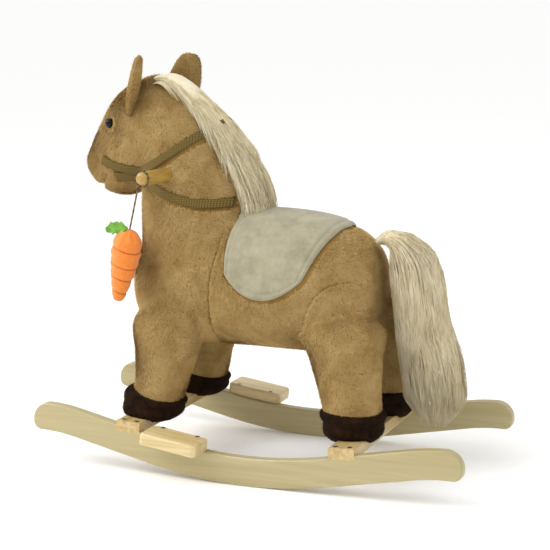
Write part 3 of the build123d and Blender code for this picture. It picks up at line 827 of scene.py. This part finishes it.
points, faces, fullness = saddle_sheet()
saddle = keep_piece(lay_mesh("saddle_pad", points, [faces]), saddle_cloth)
pull_onto_skin(saddle, 1.6)
settle(saddle)
group = saddle.vertex_groups.new(name="fullness")
for index, weight in enumerate(fullness.tolist()):
    group.add([index], weight, "REPLACE")
thicken(saddle, 6.0, 1.0, rounded=True, painted="fullness")
saddle.vertex_groups.clear()
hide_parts("saddle")
print("saddle", [round(value * 1000) for value in saddle.dimensions], "mm")

# %% [markdown]
# The bridle is olive-brown webbing 13 mm wide: a nose strap and a mouth strap on each side of
# the muzzle that meet at the dowel, a cheek strap from there up behind the ears, and a rein round
# the base of the neck. Woven tape shows fine ribs across it: two wave patterns multiplied.

# %% Webbing
# Woven tape gives the eye a matt olive brown with fine ribs; they are drawn 1.9 mm apart, about
# twice the real spacing, so that they show.
webbing, place = new_finish("woven polyester webbing, olive brown")
ribs = add_node(
    webbing, "ShaderNodeTexWave", {"wave_type": "BANDS", "bands_direction": "X"},
    {"Vector": place, "Scale": 0.31 / (1.9 * MM) / 2, "Distortion": 0.6, "Detail": 1.0},
).outputs["Fac"]
threads = add_node(
    webbing, "ShaderNodeTexWave", {"wave_type": "BANDS", "bands_direction": "Z"},
    {"Vector": place, "Scale": 0.31 / (1.5 * MM) / 2, "Distortion": 0.5},
).outputs["Fac"]
weave = add_node(
    webbing, "ShaderNodeMath", {"operation": "MULTIPLY"}, {0: ribs, 1: threads}
).outputs[0]
surface(webbing, [(0.0, "#57471F"), (0.75, "#846F40")], weave, (weave, 0.5, 0.3),
        Roughness=0.75, Specular_IOR_Level=0.15)
print("webbing ready")

# %% [markdown]
# Each strap is a flat ribbon laid out in side view. A projection along Y presses it onto the
# skin, and Solidify gives the tape its thickness. The cheek strap's last rows miss the skin,
# because there the strap runs over the mane, so they get their own curve.

# %% Bridle straps
TAPE_POINTS = 6  # across a strap
START_AT = 140.0  # where a strap lies before it is pressed onto the skin


def lie_over_mane(piece, side, run=30.0, dip=42.0):
    """Rows past the skin's outline pass over the mane's hair and then dip into it at the crest."""
    points = read_points(piece.data).reshape(-1, TAPE_POINTS, 3)
    missed = (np.abs(points[..., 1]) > START_AT - 5).any(axis=1)
    if missed.any():
        last = np.flatnonzero(~missed)[-1]
        beyond = np.linalg.norm((points - points[last])[:, :, [0, 2]], axis=2)
        lift = 9.0 * np.clip(beyond / 6, 0, 1)
        reach = np.abs(points[last, :, 1]).mean() + lift - dip * (beyond / run) ** 3
        points[last + 1:, :, 1] = side * np.maximum(reach[last + 1:], 8.0)
        write_points(piece.data, points.reshape(-1, 3))


def ribbon(name, path, side, width=12.5, gap=2.6):
    """A ribbon along a side-view path of x and z, pressed onto one side of the skin."""
    path = np.asarray(path, dtype=float)
    reach = run_along(path)
    steps = np.linspace(0, reach[-1], int(reach[-1] / 3) + 2)
    line = along(reach, path, steps)
    slope = unit(np.gradient(line, steps, axis=0))
    across = np.linspace(-0.5, 0.5, TAPE_POINTS) * width
    x = line[:, :1] - slope[:, 1:] * across
    z = line[:, 1:] + slope[:, :1] * across
    points = np.stack([x, np.full_like(x, side * START_AT), z], axis=-1).reshape(-1, 3)
    outward_order = [0, 3, 2, 1] if side < 0 else [1, 2, 3, 0]
    faces = grid_faces(len(line), TAPE_POINTS)[:, outward_order]
    piece = keep_piece(lay_mesh(name, points, [faces]), webbing)
    pull_onto_skin(piece, gap, sideways=True)
    settle(piece)
    lie_over_mane(piece, side)
    thicken(piece, 2.0, 1.0)
    laid = len(line) * TAPE_POINTS
    shown = read_points(piece.data)[:laid].reshape(-1, TAPE_POINTS, 3)
    return piece


STRAPS = {
    "nose_strap": ((-281, 472), (-268, 466), (-250, 461), (-230, 458), (-206, 456)),
    "mouth_strap": ((-260, 446), (-240, 446), (-210, 442)),
    "cheek_strap": ((-203, 457), (-178, 468), (-129, 499), (-100, 518), (-76, 533)),
    "rein": ((-187, 441), (-152, 426), (-100, 413), (-66, 412), (-52, 413)),
}
straps = []
for strap_name, path in STRAPS.items():
    pair = [ribbon(f"{strap_name}_{side_name}", path, side)
            for side, side_name in ((-1, "left"), (1, "right"))]
    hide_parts(strap_name)
    straps += pair
print(len(straps), "strap pieces")

# %% [markdown]
# The pile itself is what makes plush read as plush at its outline. It is half a million single
# blades, each one triangle, in pieces small enough to export. Each blade stands on a random spot
# of the knitted back, leans along the nap, and the nap's direction wanders in slow waves, as it
# does where hands have stroked it. None grows where the saddle or a strap presses on it.

# %% Blades
def cell_map(mesh, corner_spots):
    """Gives each small shape its own square of the bake map, at the given corner spots."""
    shapes = len(corner_spots)
    side = int(math.ceil(math.sqrt(shapes)))
    column, row = np.arange(shapes) % side, np.arange(shapes) // side
    spots = (np.stack([column, row], axis=-1)[:, None, :] + corner_spots) / side
    layer = mesh.uv_layers.new(name="OFBake")
    layer.uv.foreach_set("vector", spots.astype(np.float32).ravel())


def cell_keys(points, size):
    """One whole number per point for the cube of space that holds it."""
    cells = np.floor(points / size).astype(np.int64) + 1000
    return (cells[..., 0] * 4000 + cells[..., 1]) * 4000 + cells[..., 2]


def pressed(feet, pieces, size=2.6):
    """True where a foot shares a cube of space, or is in the next cube, with one of the pieces."""
    marks = np.concatenate([read_points(piece.data) for piece in pieces])
    near = np.stack(np.meshgrid(*[(-1, 0, 1)] * 3, indexing="ij"), axis=-1).reshape(-1, 3)
    taken = np.unique(cell_keys(marks[:, None] + near[None] * size, size))
    return np.isin(cell_keys(feet, size), taken)


def lay_pile(name, ground, finish, count, seed, length=6.5, width=1.5, stand=0.42, near=None,
             flow=(0.55, 0.0, -0.83)):
    """Blades from random spots of a mesh: tip = foot + length (stand normal + nap direction)."""
    rng = np.random.default_rng(seed)
    mesh = ground.data
    mesh.calc_loop_triangles()
    flat = np.empty(len(mesh.loop_triangles) * 3, dtype=np.int32)
    mesh.loop_triangles.foreach_get("vertices", flat)
    corners, normals = read_points(mesh)[flat.reshape(-1, 3)], read_normals(mesh)
    normals = normals[flat.reshape(-1, 3)]
    area = np.linalg.norm(
        np.cross(corners[:, 1] - corners[:, 0], corners[:, 2] - corners[:, 0]), axis=1
    )
    pick = rng.choice(len(area), count, p=area / area.sum())
    a, b = rng.random((2, count, 1))
    a, b = np.where(a + b > 1, 1 - a, a), np.where(a + b > 1, 1 - b, b)
    shares = np.stack([1 - a - b, a, b], axis=1)
    feet = (corners[pick] * shares).sum(axis=1)
    normal = unit((normals[pick] * shares).sum(axis=1))
    if near is not None:
        keep = ~near(feet)
        feet, normal = feet[keep], normal[keep]
        count = len(feet)
    x, y, z = feet.T / 26.0
    sway = np.stack([np.sin(z * 1.3 + 2 * np.sin(x)), np.sin(x * 1.1 + z), np.sin(x * 1.7 + y)], -1)
    nap = np.asarray(flow) + 0.45 * sway + 0.38 * rng.normal(size=(count, 3))
    nap = unit(nap - normal * (nap * normal).sum(axis=1, keepdims=True))
    lift = stand + 0.16 * rng.normal(size=(count, 1))
    lean = unit(nap + lift * normal)
    side = unit(np.cross(normal, lean))
    reach = length * (0.75 + 0.5 * rng.random((count, 1)))
    foot = feet - 0.6 * normal
    blades = np.stack(
        [foot - side * width / 2, foot + side * width / 2, foot + lean * reach], axis=1
    )
    pile_mesh = lay_mesh(name, blades.reshape(-1, 3), [np.arange(count * 3).reshape(-1, 3)])
    cell_map(pile_mesh, np.broadcast_to(np.array([(0.2, 0.2), (0.8, 0.2), (0.5, 0.8)]),
                                        (count, 3, 2)))
    return keep_piece(pile_mesh, finish)


print("blades can be laid")

# %% [markdown]
# The skin takes three pieces of pile, each ear and each hoof one. Ears and hooves have shorter
# blades. The mouth, the seams and the places under cloth stay bare.

# %% Pile on the horse
PILE_BLADES = 190000  # in each of the skin's three pieces


def in_mouth(feet):
    """True within 3 mm of the mouth lines and the nostrils, where the stitch hides the pile."""
    return sum(dent_along(feet, path, 3.0, 1.0) for path in mouth_lines + nostril_lines) > 0.37


worn = [saddle, *straps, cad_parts["eyes"]]
pile_pieces = [
    lay_pile(f"coat_pile_{number}", skin, coat_pile, PILE_BLADES, number,
             near=lambda feet: pressed(feet, worn) | (seam_depth(feet) > 0.6)
             | in_mouth(feet))
    for number in range(3)
]
for number, ground in enumerate((ear_left, ear_right)):
    pile_pieces.append(
        lay_pile(ground.name.replace("plush", "pile"), ground, coat_pile, 15000, 20 + number,
                 length=4.5, stand=0.3, flow=(0.2, 0.0, 0.9))
    )
for number, ground in enumerate(hooves):
    piece = lay_pile(ground.name.replace("plush", "pile"), ground, hoof_pile, 16000, 40 + number,
                     length=4.0, width=1.3, stand=0.35)
    pile_pieces.append(piece)
print(sum(len(piece.data.polygons) for piece in pile_pieces), "blades of pile")

# %% [markdown]
# Mane and tail are long-pile fur in cream. The hair lies in locks: strands that start side by
# side and run together towards their tips. Under them is a body of the same colour, so nothing
# shows through. Each strand is a thin closed three-sided tube carried along its path.

# %% Hair finishes
def hair(name, stops):
    """Fine streaks drawn out along Z over broad patches, in tones from shadowed to lit."""
    material, place = new_finish(name)
    fine_space = add_node(
        material, "ShaderNodeMapping", None, {"Vector": place, "Scale": (1.0, 1.0, 0.12)}
    ).outputs["Vector"]
    fine = add_node(
        material, "ShaderNodeTexNoise", None,
        {"Vector": fine_space, "Scale": 1 / (5 * MM), "Detail": 3.0, "Roughness": 0.65},
    ).outputs["Fac"]
    broad = add_node(
        material, "ShaderNodeTexNoise", None, {"Vector": place, "Scale": 1 / (40 * MM)}
    ).outputs["Fac"]
    return surface(material, stops, blend(material, broad, 0.4, fine), (fine, 0.4, 0.8),
                   Roughness=0.6, Sheen_Weight=0.3)


# Long polyester pile gives the eye a pale cream with silky streaks; the tail's copy is darker, as
# painted shade.
mane_hair = hair("long polyester pile, pale cream",
                 [(0.34, "#D3C295"), (0.48, "#E4D7B0"), (0.64, "#F1E8CC")])
tail_hair_painted_shade = hair("long polyester pile, darker cream",
                 [(0.34, "#B5A47C"), (0.48, "#D0C19B"), (0.64, "#E2D7B8")])
print("hair finishes ready")

# %% [markdown]
# Three sides are enough for a strand that is a millimetre thick. It is thinner at its root and
# comes to a point. Each strand has its own square of the bake map.

# %% Strands
def strand_piece(name, paths, thick, finish):
    """Closed three-sided tubes along paths shaped (strands, points, 3), thinning to the tips."""
    strands, stations = paths.shape[:2]
    slope = unit(np.gradient(paths, axis=1))
    first = unit(np.cross(slope, np.array((0.3, 0.9, 0.2))))
    second = np.cross(slope, first)
    taper = thick * np.interp(np.linspace(0, 1, stations), (0, 0.15, 0.7, 1), (0.6, 1, 0.8, 0.12))
    turns = np.array((0, 2, 4)) * math.pi / 3
    ring = (
        first[:, :, None] * np.cos(turns)[:, None] + second[:, :, None] * np.sin(turns)[:, None]
    ) * (taper / 2)[None, :, None, None]
    points = (paths[:, :, None] + ring).reshape(-1, 3)
    start = np.arange(strands)[:, None, None] * stations * 3
    row, column = np.meshgrid(np.arange(stations - 1), np.arange(3), indexing="ij")
    base, beside = row * 3 + column, row * 3 + (column + 1) % 3
    quads = start[..., None] + np.stack([base, beside, beside + 3, base + 3], axis=-1)[None]
    last = (stations - 1) * 3
    ends = np.array([(2, 1, 0), (last, last + 1, last + 2)])
    mesh = lay_mesh(name, points, [quads.reshape(-1, 4), (start + ends[None]).reshape(-1, 3)])
    share = (np.stack([row, row, row + 1, row + 1], axis=-1) / stations).reshape(-1, 4)
    wide = np.broadcast_to(np.array((0.15, 0.85, 0.85, 0.15)), share.shape)
    quad_spots = np.stack([wide, 0.05 + 0.9 * share], axis=-1).reshape(-1, 2)
    side = int(math.ceil(math.sqrt(strands)))
    cell = np.stack([np.arange(strands) % side, np.arange(strands) // side], axis=-1)
    quad_map = (cell[:, None] + quad_spots[None]) / side
    end_map = (cell[:, None] + np.full((6, 2), 0.5)[None]) / side
    layer = mesh.uv_layers.new(name="OFBake")
    spots = np.concatenate([quad_map.reshape(-1, 2), end_map.reshape(-1, 2)])
    layer.uv.foreach_set("vector", spots.astype(np.float32).ravel())
    piece = keep_piece(mesh, finish)
    return piece


print("strands can be laid")

# %% [markdown]
# The mane runs from a tuft between the ears down the crest of the neck to the saddle. Every
# strand is rooted on the crest, rises a little, and sweeps along it towards the tail while it
# spreads to its own side. A lock's strands share their random numbers, and their tips are drawn
# towards the lock's middle.

# %% Mane
CREST = np.array([(-210, 584), (-196, 596), (-172, 600), (-146, 586), (-120, 560), (-96, 527),
                  (-76, 490), (-60, 452), (-50, 424), (-47, 408)], dtype=float)
crest_reach = run_along(CREST)
crest_length = float(crest_reach[-1])


def on_crest(share, away):
    """Root points at a share of the crest, away from its middle (-1 to 1), and the frame there."""
    place = np.clip(share, 0, 1) * crest_length
    spot = along(crest_reach, CREST, place)
    slope = slope_along(crest_reach, CREST, place, 4)
    run = np.stack([slope[:, 0], np.zeros(len(place)), slope[:, 1]], axis=-1)
    rise = np.stack([-slope[:, 1], np.zeros(len(place)), slope[:, 0]], axis=-1)
    root = np.stack([spot[:, 0], 24.0 * away, spot[:, 1]], axis=-1)
    root = root - rise * (9.0 * away**2)[:, None]
    return root, run, rise


def mane_paths(strands, locks, seed, stations=9):
    """Paths that rise off the crest, run along it and spread sideways, gathered in locks."""
    rng = np.random.default_rng(seed)
    lock = rng.integers(0, locks, strands)
    lock_share, lock_away = rng.random(locks) ** 0.92, rng.uniform(-1, 1, locks)
    reach, lift = rng.uniform(62, 104, locks), rng.uniform(8, 18, locks)
    out = rng.uniform(6, 24, locks)
    spread, sink = rng.uniform(14, 30, locks), rng.uniform(2, 10, locks)
    share = np.clip(lock_share[lock] + 0.035 * rng.normal(size=strands), 0, 1)
    away = np.clip(lock_away[lock] + 0.16 * rng.normal(size=strands), -1, 1)
    t = np.linspace(0, 1, stations)[None, :, None]

    def swept(share_here, away_here, own):
        room = np.clip((1.12 - share_here) * crest_length, 24, 200)
        length = np.minimum(reach[lock] * own, room)[:, None]
        there = share_here[:, None] + length * t[..., 0] / crest_length
        root, run, rise = (
            part.reshape(*there.shape, 3)
            for part in on_crest(there.ravel(), np.repeat(away_here, stations))
        )
        root = root + run * np.maximum(there - 1, 0)[..., None] * crest_length
        full = np.interp(share_here, (0, 0.2, 0.42, 0.65, 1), (0.25, 0.5, 1.1, 1.8, 1.7))
        high = (full * lift[lock] * (1 - 0.45 * np.abs(away_here)))[:, None, None]
        path = root + rise * (
            high * 2.6 * t * (1 - t) + (full * out[lock])[:, None, None] * t**0.8
        )
        path = path + np.array((0, 1, 0)) * (away_here * spread[lock])[:, None, None] * t
        return path - np.array((0, 0, 1)) * sink[lock][:, None, None] * t**2

    own = swept(share, away, rng.uniform(0.8, 1.12, strands))
    middle = swept(lock_share[lock], lock_away[lock], np.ones(strands))
    return own + (middle - own) * 0.35 * t**1.5


core_share = np.linspace(0, 1, 40)
root, run, rise = on_crest(core_share, np.zeros(40))
core_turn = np.linspace(0, 2 * np.pi, 24, endpoint=False)
core_size = np.interp(core_share, (0, 0.08, 0.3, 0.9, 1), (0.3, 0.8, 1, 1, 0.4))
mane_rings = root[:, None] + rise[:, None] * (1 + 7 * core_size[:, None] * np.cos(core_turn))[
    ..., None
] + np.array((0, 1, 0)) * (25 * core_size[:, None] * np.sin(core_turn))[..., None]
points, faces = closed_tube(mane_rings)
mane_core = keep_piece(lay_mesh("mane_core", points, faces), mane_hair)
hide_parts("mane")
manes = [strand_piece(f"mane_hair_{number}", mane_paths(3600, 190, 60 + number), 1.1, mane_hair)
         for number in range(2)]
print("mane", sum(len(piece.data.polygons) for piece in manes), "faces")

# %% [markdown]
# The tail springs from a seam at the top of the rump, arches over backwards and falls nearly to
# the rockers, widening on the way. A strand keeps its place in the tail's cross-section while
# the section is carried down the tail's middle line; slow waves shared by a lock make it ripple.

# %% Tail
TAIL = np.array([
    (170, 358, 8, 14), (184, 366, 13, 24), (204, 359, 22, 31), (223, 334, 35, 34),
    (233, 300, 40, 36), (238, 262, 40, 36), (244, 225, 42, 36), (253, 190, 46, 36),
    (261, 150, 47, 34), (264, 122, 45, 31), (264, 100, 34, 25), (263, 82, 20, 16),
], dtype=float)
tail_reach = run_along(TAIL[:, :2])


def in_tail(share, aside, ahead):
    """A point of the tail at a share of its length and a place in its cross-section."""
    place = np.clip(share, 0, 1).ravel() * tail_reach[-1]
    here = along(tail_reach, TAIL, place)
    slope = slope_along(tail_reach, TAIL[:, :2], place, 5)
    step = ahead.ravel() * here[:, 2]
    x = here[:, 0] - slope[:, 1] * step
    z = here[:, 1] + slope[:, 0] * step
    return np.stack([x, aside.ravel() * here[:, 3], z], axis=-1).reshape(*share.shape, 3)


def tail_paths(strands, locks, seed, stations=12):
    """Paths down the tail at nearly fixed places in its section, rippled and gathered by lock."""
    rng = np.random.default_rng(seed)
    lock = rng.integers(0, locks, strands)
    turn = rng.uniform(0, 2 * np.pi, locks)
    depth = rng.uniform(0.68, 1.06, locks)
    begin, end = rng.uniform(0, 0.30, locks), rng.uniform(0.68, 0.99, locks)
    beat, phase = rng.uniform(3, 7, locks), rng.uniform(0, 6, locks)
    t = np.linspace(0, 1, stations)[None]
    own_turn = turn[lock] + 0.16 * rng.normal(size=strands)
    own_depth = np.clip(depth[lock] + 0.09 * rng.normal(size=strands), 0.1, 1.02)
    first = begin[lock] + 0.03 * rng.normal(size=strands)
    last = end[lock] + 0.03 * rng.normal(size=strands)

    def fall(angle, deep):
        share = first[:, None] + (last - first)[:, None] * t
        opened = deep[:, None] * (0.55 + 0.45 * np.clip(t * 4, 0, 1))
        ripple = 0.055 * np.sin(beat[lock][:, None] * t * 3 + phase[lock][:, None]) * t
        return in_tail(share, opened * np.sin(angle)[:, None] + ripple,
                       opened * np.cos(angle)[:, None] + ripple)

    own = fall(own_turn, own_depth)
    middle = fall(turn[lock], depth[lock])
    return own + (middle - own) * (0.7 * t**1.6)[..., None]


core_share = np.broadcast_to(np.linspace(0, 0.86, 46)[:, None], (46, 28))
core_turn = np.broadcast_to(np.linspace(0, 2 * np.pi, 28, endpoint=False), (46, 28))
tail_core = keep_piece(
    lay_mesh("tail_core", *closed_tube(in_tail(core_share, 0.74 * np.sin(core_turn),
                                               0.74 * np.cos(core_turn)))),
    tail_hair_painted_shade,
)
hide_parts("tail")
tails = [strand_piece(f"tail_hair_{number}", tail_paths(2700, 170, 80 + number), 1.35, tail_hair_painted_shade)
         for number in range(2)]
print("tail", sum(len(piece.data.polygons) for piece in tails), "faces")

# %% [markdown]
# The carrot hangs on grey-brown two-ply twine, looped round the dowel's end and knotted below
# it. The hanging stretch is a straight cord; the loop is made of its two plies, each a tube that
# winds round the loop's line as it goes round the dowel.

# %% Hanging twine
# Twisted twine gives the eye slanting light and dark bands; they are drawn 3 mm apart, about twice
# the real lay, so that they show.
twine_finish, place = new_finish("two-ply twisted twine, grey-brown")
slanted = add_node(
    twine_finish, "ShaderNodeMapping", None, {"Vector": place, "Rotation": (0.5, 0.6, 0.0)}
).outputs["Vector"]
plies = add_node(
    twine_finish, "ShaderNodeTexWave", {"wave_type": "BANDS", "bands_direction": "Z"},
    {"Vector": slanted, "Scale": 0.31 / (3.0 * MM) / 2, "Distortion": 0.8, "Detail": 2.0},
).outputs["Fac"]
surface(twine_finish, [(0.1, "#3E3524"), (0.8, "#7C6D52")], plies, (plies, 0.9, 0.5),
        Roughness=0.8)

forward = turn_head((dowel_x - 1.0, 0, 0)) - turn_head((dowel_x, 0, 0))
outward = turn_head((dowel_x, -1.0, 0)) - turn_head((dowel_x, 0, 0))
down = np.array((0.0, 0.0, -1.0))


def leaning_down(angle):
    """Straight down, tipped forwards by an angle in degrees."""
    return down * math.cos(math.radians(angle)) + forward * math.sin(math.radians(angle))


loop_centre = np.array((dowel_x, 0.0, 455.0)) + outward * 129.0
knot = loop_centre + leaning_down(33.0) * 14.0
hang = leaning_down(15.3)
twine_end = knot + hang * 69.0
twine_start = knot + hang * 3.1
route = [twine_start, (twine_start + twine_end) / 2, twine_end]
curve = bpy.data.curves.new("carrot_twine_cord", "CURVE")
curve.dimensions = "3D"
spline = curve.splines.new("NURBS")
spline.points.add(len(route) - 1)
for control, spot in zip(spline.points, route):
    control.co = (*(spot * MM), 1.0)
spline.order_u = 3
spline.use_endpoint_u = True
curve.bevel_depth = 1.3 * MM
curve.bevel_resolution = 4
curve.use_fill_caps = True
curve.materials.append(twine_finish)
cord = bpy.data.objects.new("carrot_twine_cord", curve)
scene.collection.objects.link(cord)
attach(cord, "twine")
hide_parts("carrot_twine")
print("twine", round(float(np.linalg.norm(twine_end - twine_start)), 1), "mm long")

# %% [markdown]
# Seen close, the loop is two plies that wind round each other fourteen times on their way round
# the dowel. The knot below is a small ball with shallow slanting ridges.

# %% Loop and knot
turn = np.linspace(0, 2 * np.pi, 240, endpoint=False)
radial = np.cos(turn)[:, None] * forward + np.sin(turn)[:, None] * down
plies_points, plies_faces, start = [], [], 0
section = np.linspace(0, 2 * np.pi, 8, endpoint=False)
for phase in (0.0, math.pi):
    wind = 14 * turn + phase
    line = loop_centre + radial * 12.5 + 0.62 * (
        np.cos(wind)[:, None] * radial + np.sin(wind)[:, None] * outward
    )
    ring = line[:, None] + 0.72 * (
        np.cos(section)[None, :, None] * radial[:, None]
        + np.sin(section)[None, :, None] * outward
    )
    row, column = np.meshgrid(np.arange(240), np.arange(8), indexing="ij")
    after, beside = (row + 1) % 240, (column + 1) % 8
    plies_faces.append(start + np.stack(
        [row * 8 + column, row * 8 + beside, after * 8 + beside, after * 8 + column], axis=-1
    ).reshape(-1, 4))
    plies_points.append(ring.reshape(-1, 3))
    start += 240 * 8
lat, lon = np.meshgrid(np.linspace(0.12, np.pi - 0.12, 20), np.linspace(0, 2 * np.pi, 28, False),
                       indexing="ij")
knot_r = 2.7 + 0.35 * np.sin(5 * lat + 2 * lon)
knot_rings = knot + knot_r[..., None] * (
    np.sin(lat)[..., None] * (np.cos(lon)[..., None] * forward + np.sin(lon)[..., None] * outward)
    + np.cos(lat)[..., None] * down
)
knot_points, (knot_quads, knot_fans) = closed_tube(knot_rings)
loop_mesh = lay_mesh(
    "twine_loop_and_knot", np.concatenate([*plies_points, knot_points]),
    [np.concatenate([*plies_faces, knot_quads + start]), knot_fans + start],
)
loop_piece = keep_piece(loop_mesh, twine_finish, "twine_loop")
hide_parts("twine_loop")
print("loop and knot", len(loop_mesh.polygons), "faces")

# %% [markdown]
# The carrot is a stuffed cone of orange velour, gathered into the twine at its top and crossed
# by four stitched creases. Its radius is a smooth profile along its length, with a bell-shaped
# dip at each crease and a few radial folds that die away below the gather. Its leaf is a scrap
# of green felt with a wavy edge.

# %% Carrot
# A short dense nap gives the eye a flat bright colour that is paler at the edges; the carrot's
# creases are sewn with brown thread.
orange_velour = mottled("orange velour", [(0.35, "#E0711A"), (0.6, "#F29136")], 1.6, 3.0, 0.7,
                        (0.5, 0.5), stitch="#8A3F0C", Roughness=0.8, Sheen_Weight=0.3)
green_felt = mottled("green felt", [(0.35, "#41800C"), (0.62, "#76AE2C")], 1.2, 3.0, 0.7,
                     (0.5, 0.5), Roughness=0.8, Sheen_Weight=0.3)
carrot_axis = leaning_down(13.2)
carrot_top = twine_end + carrot_axis * 0.8
CARROT_LENGTH = 118.0
CREASES = np.array((0.26, 0.48, 0.65, 0.84)) * CARROT_LENGTH
rows, columns = 260, 72
depth = CARROT_LENGTH * (0.5 - 0.5 * np.cos(np.linspace(0.03, np.pi - 0.03, rows)))
profile = along((0, 3, 9, 20, 34, 65, 92, 110, 116, 118),
                np.array([[1.5, 9, 16.5, 21.6, 22.6, 19.6, 14, 9.2, 5.5, 1.0]]).T, depth)
angle = np.linspace(0, 2 * np.pi, columns, endpoint=False)[None]
smile = depth[:, None] + 3.2 * np.sin(angle)
creases = sum(np.exp(-(((smile - place) / 1.7) ** 2)) for place in CREASES)
swell = 1 + 0.035 * np.sin(depth[:, None] * 0.35 + 1.0)
folds = 1 + 0.10 * np.cos(9 * angle + 0.6) * np.exp(-depth[:, None] / 11)
radius = profile * swell * folds - 2.2 * creases * np.clip(profile / 12, 0, 1)
rings = carrot_top + depth[:, None, None] * carrot_axis + radius[..., None] * (
    np.cos(angle)[..., None] * outward + np.sin(angle)[..., None] * np.cross(carrot_axis, outward)
)
carrot = keep_piece(lay_mesh("carrot_plush", *closed_tube(rings)), orange_velour, "carrot")
lines = sum(np.exp(-(((smile - place) / 0.75) ** 2)) for place in CREASES)
carrot.data.attributes.new("stitch", "FLOAT", "POINT").data.foreach_set(
    "value", np.append(0.75 * lines.ravel(), (0.0, 0.0)).astype(np.float32)
)
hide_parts("carrot")
print("carrot", [round(value * 1000) for value in carrot.dimensions], "mm")

# %% [markdown]
# The leaf is a flat scrap with a wavy outline. A sine across both directions crinkles it, and
# Solidify gives the felt its 1.8 mm.

# %% Leaf
length, width = np.meshgrid(np.linspace(-1, 1, 40), np.linspace(-1, 1, 18), indexing="ij")
leaf_half = 9.8 * np.sqrt(np.clip(1.02 - length**2, 0, 1)) * (1 + 0.16 * np.sin(11 * length))
leaf_up = np.array((0.0, 0.0, 1.0))
leaf_face = unit(outward * 0.85 + leaf_up * 0.5)
leaf_side = unit(np.cross(leaf_face, forward))
leaf_middle = carrot_top + forward * 22.0 + outward * 5 + leaf_up * 0.5
crinkle = 1.5 * np.sin(7 * length + 2.2 * width) * (0.4 + np.abs(width)) + 2.0 * (width**2 - 0.4)
points = (leaf_middle + length[..., None] * 20.0 * forward + (leaf_half * width)[..., None]
          * leaf_side + crinkle[..., None] * leaf_face).reshape(-1, 3)
mesh = lay_mesh("carrot_leaf_felt", points, [grid_faces(*length.shape)])
leaf = keep_piece(mesh, green_felt, "carrot")
thicken(leaf, 1.8, 0.0)
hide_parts("carrot_leaf")
print("leaf", [round(value * 1000) for value in leaf.dimensions], "mm")

# %% [markdown]
# The screws have cross recesses. Each is a thin dark plus sign set level with the head, a painted
# shadow that reads as the shadowed slot at any distance.

# %% Cross recesses
# The bottom of a recess gives the eye only its shadow, so the plus is painted shadow.
recess_painted_shadow = mottled("shadowed cross recess in zinc-plated steel",
                      [(0.3, "#1B1A18"), (0.7, "#34322E")], 0.6, Roughness=0.7, Metallic=0.6)

PLUS = np.array([(-2.5, -0.5), (-0.5, -0.5), (-0.5, -2.5), (0.5, -2.5), (0.5, -0.5), (2.5, -0.5),
                 (2.5, 0.5), (0.5, 0.5), (0.5, 2.5), (-0.5, 2.5), (-0.5, 0.5), (-2.5, 0.5)])


def recesses(name, middle, pitch, spots):
    """Thin plus-shaped plates of painted shadow at spots of a plane sloping down tailwards by
    pitch.
    """
    slope = math.radians(pitch)
    run = np.array((math.cos(slope), 0, -math.sin(slope)))
    up = np.array((math.sin(slope), 0, math.cos(slope)))
    count = len(spots)
    flat = np.asarray(spots, dtype=float)[:, None] + PLUS[None]
    layers = [np.asarray(middle) + flat[..., :1] * run + flat[..., 1:] * np.array((0, 1, 0))
              + height * up for height in (-0.3, 0.12)]
    points = np.stack(layers, axis=1).reshape(-1, 3)
    start = np.arange(count)[:, None] * 24
    turn = np.arange(12)
    sides = start[..., None] + np.stack(
        [turn, (turn + 1) % 12, (turn + 1) % 12 + 12, turn + 12], axis=-1
    )[None]
    top = np.array([(12, 13, 22, 23), (14, 15, 16, 13), (16, 17, 18, 19), (19, 20, 21, 22),
                    (13, 16, 19, 22)])
    bottom = (top - 12)[:, ::-1]
    caps = start[..., None] + np.concatenate([top, bottom])[None]
    mesh = lay_mesh(name, points, [sides.reshape(-1, 4), caps.reshape(-1, 4)])
    mesh.polygons.foreach_set("use_smooth", np.zeros(len(mesh.polygons), dtype=bool))
    piece = keep_piece(mesh, recess_painted_shadow)
    return piece


slat_spots = [(x, y) for x in (-11.0, 11.0) for y in (-147.25, 147.25)]
recesses("front_slat_recesses", (-182.0, 0, 82.0), 4.0, slat_spots)
recesses("rear_slat_recesses", (166.0, 0, 75.5), -2.5, slat_spots)
for side, side_name in ((-1, "left"), (1, "right")):
    recesses(f"footrest_{side_name}_recesses", (-97.0, 0, 71.5), 8.0,
             [(x, side * 147.25) for x in (-29.0, 29.0)])
print("recesses on 12 screws")
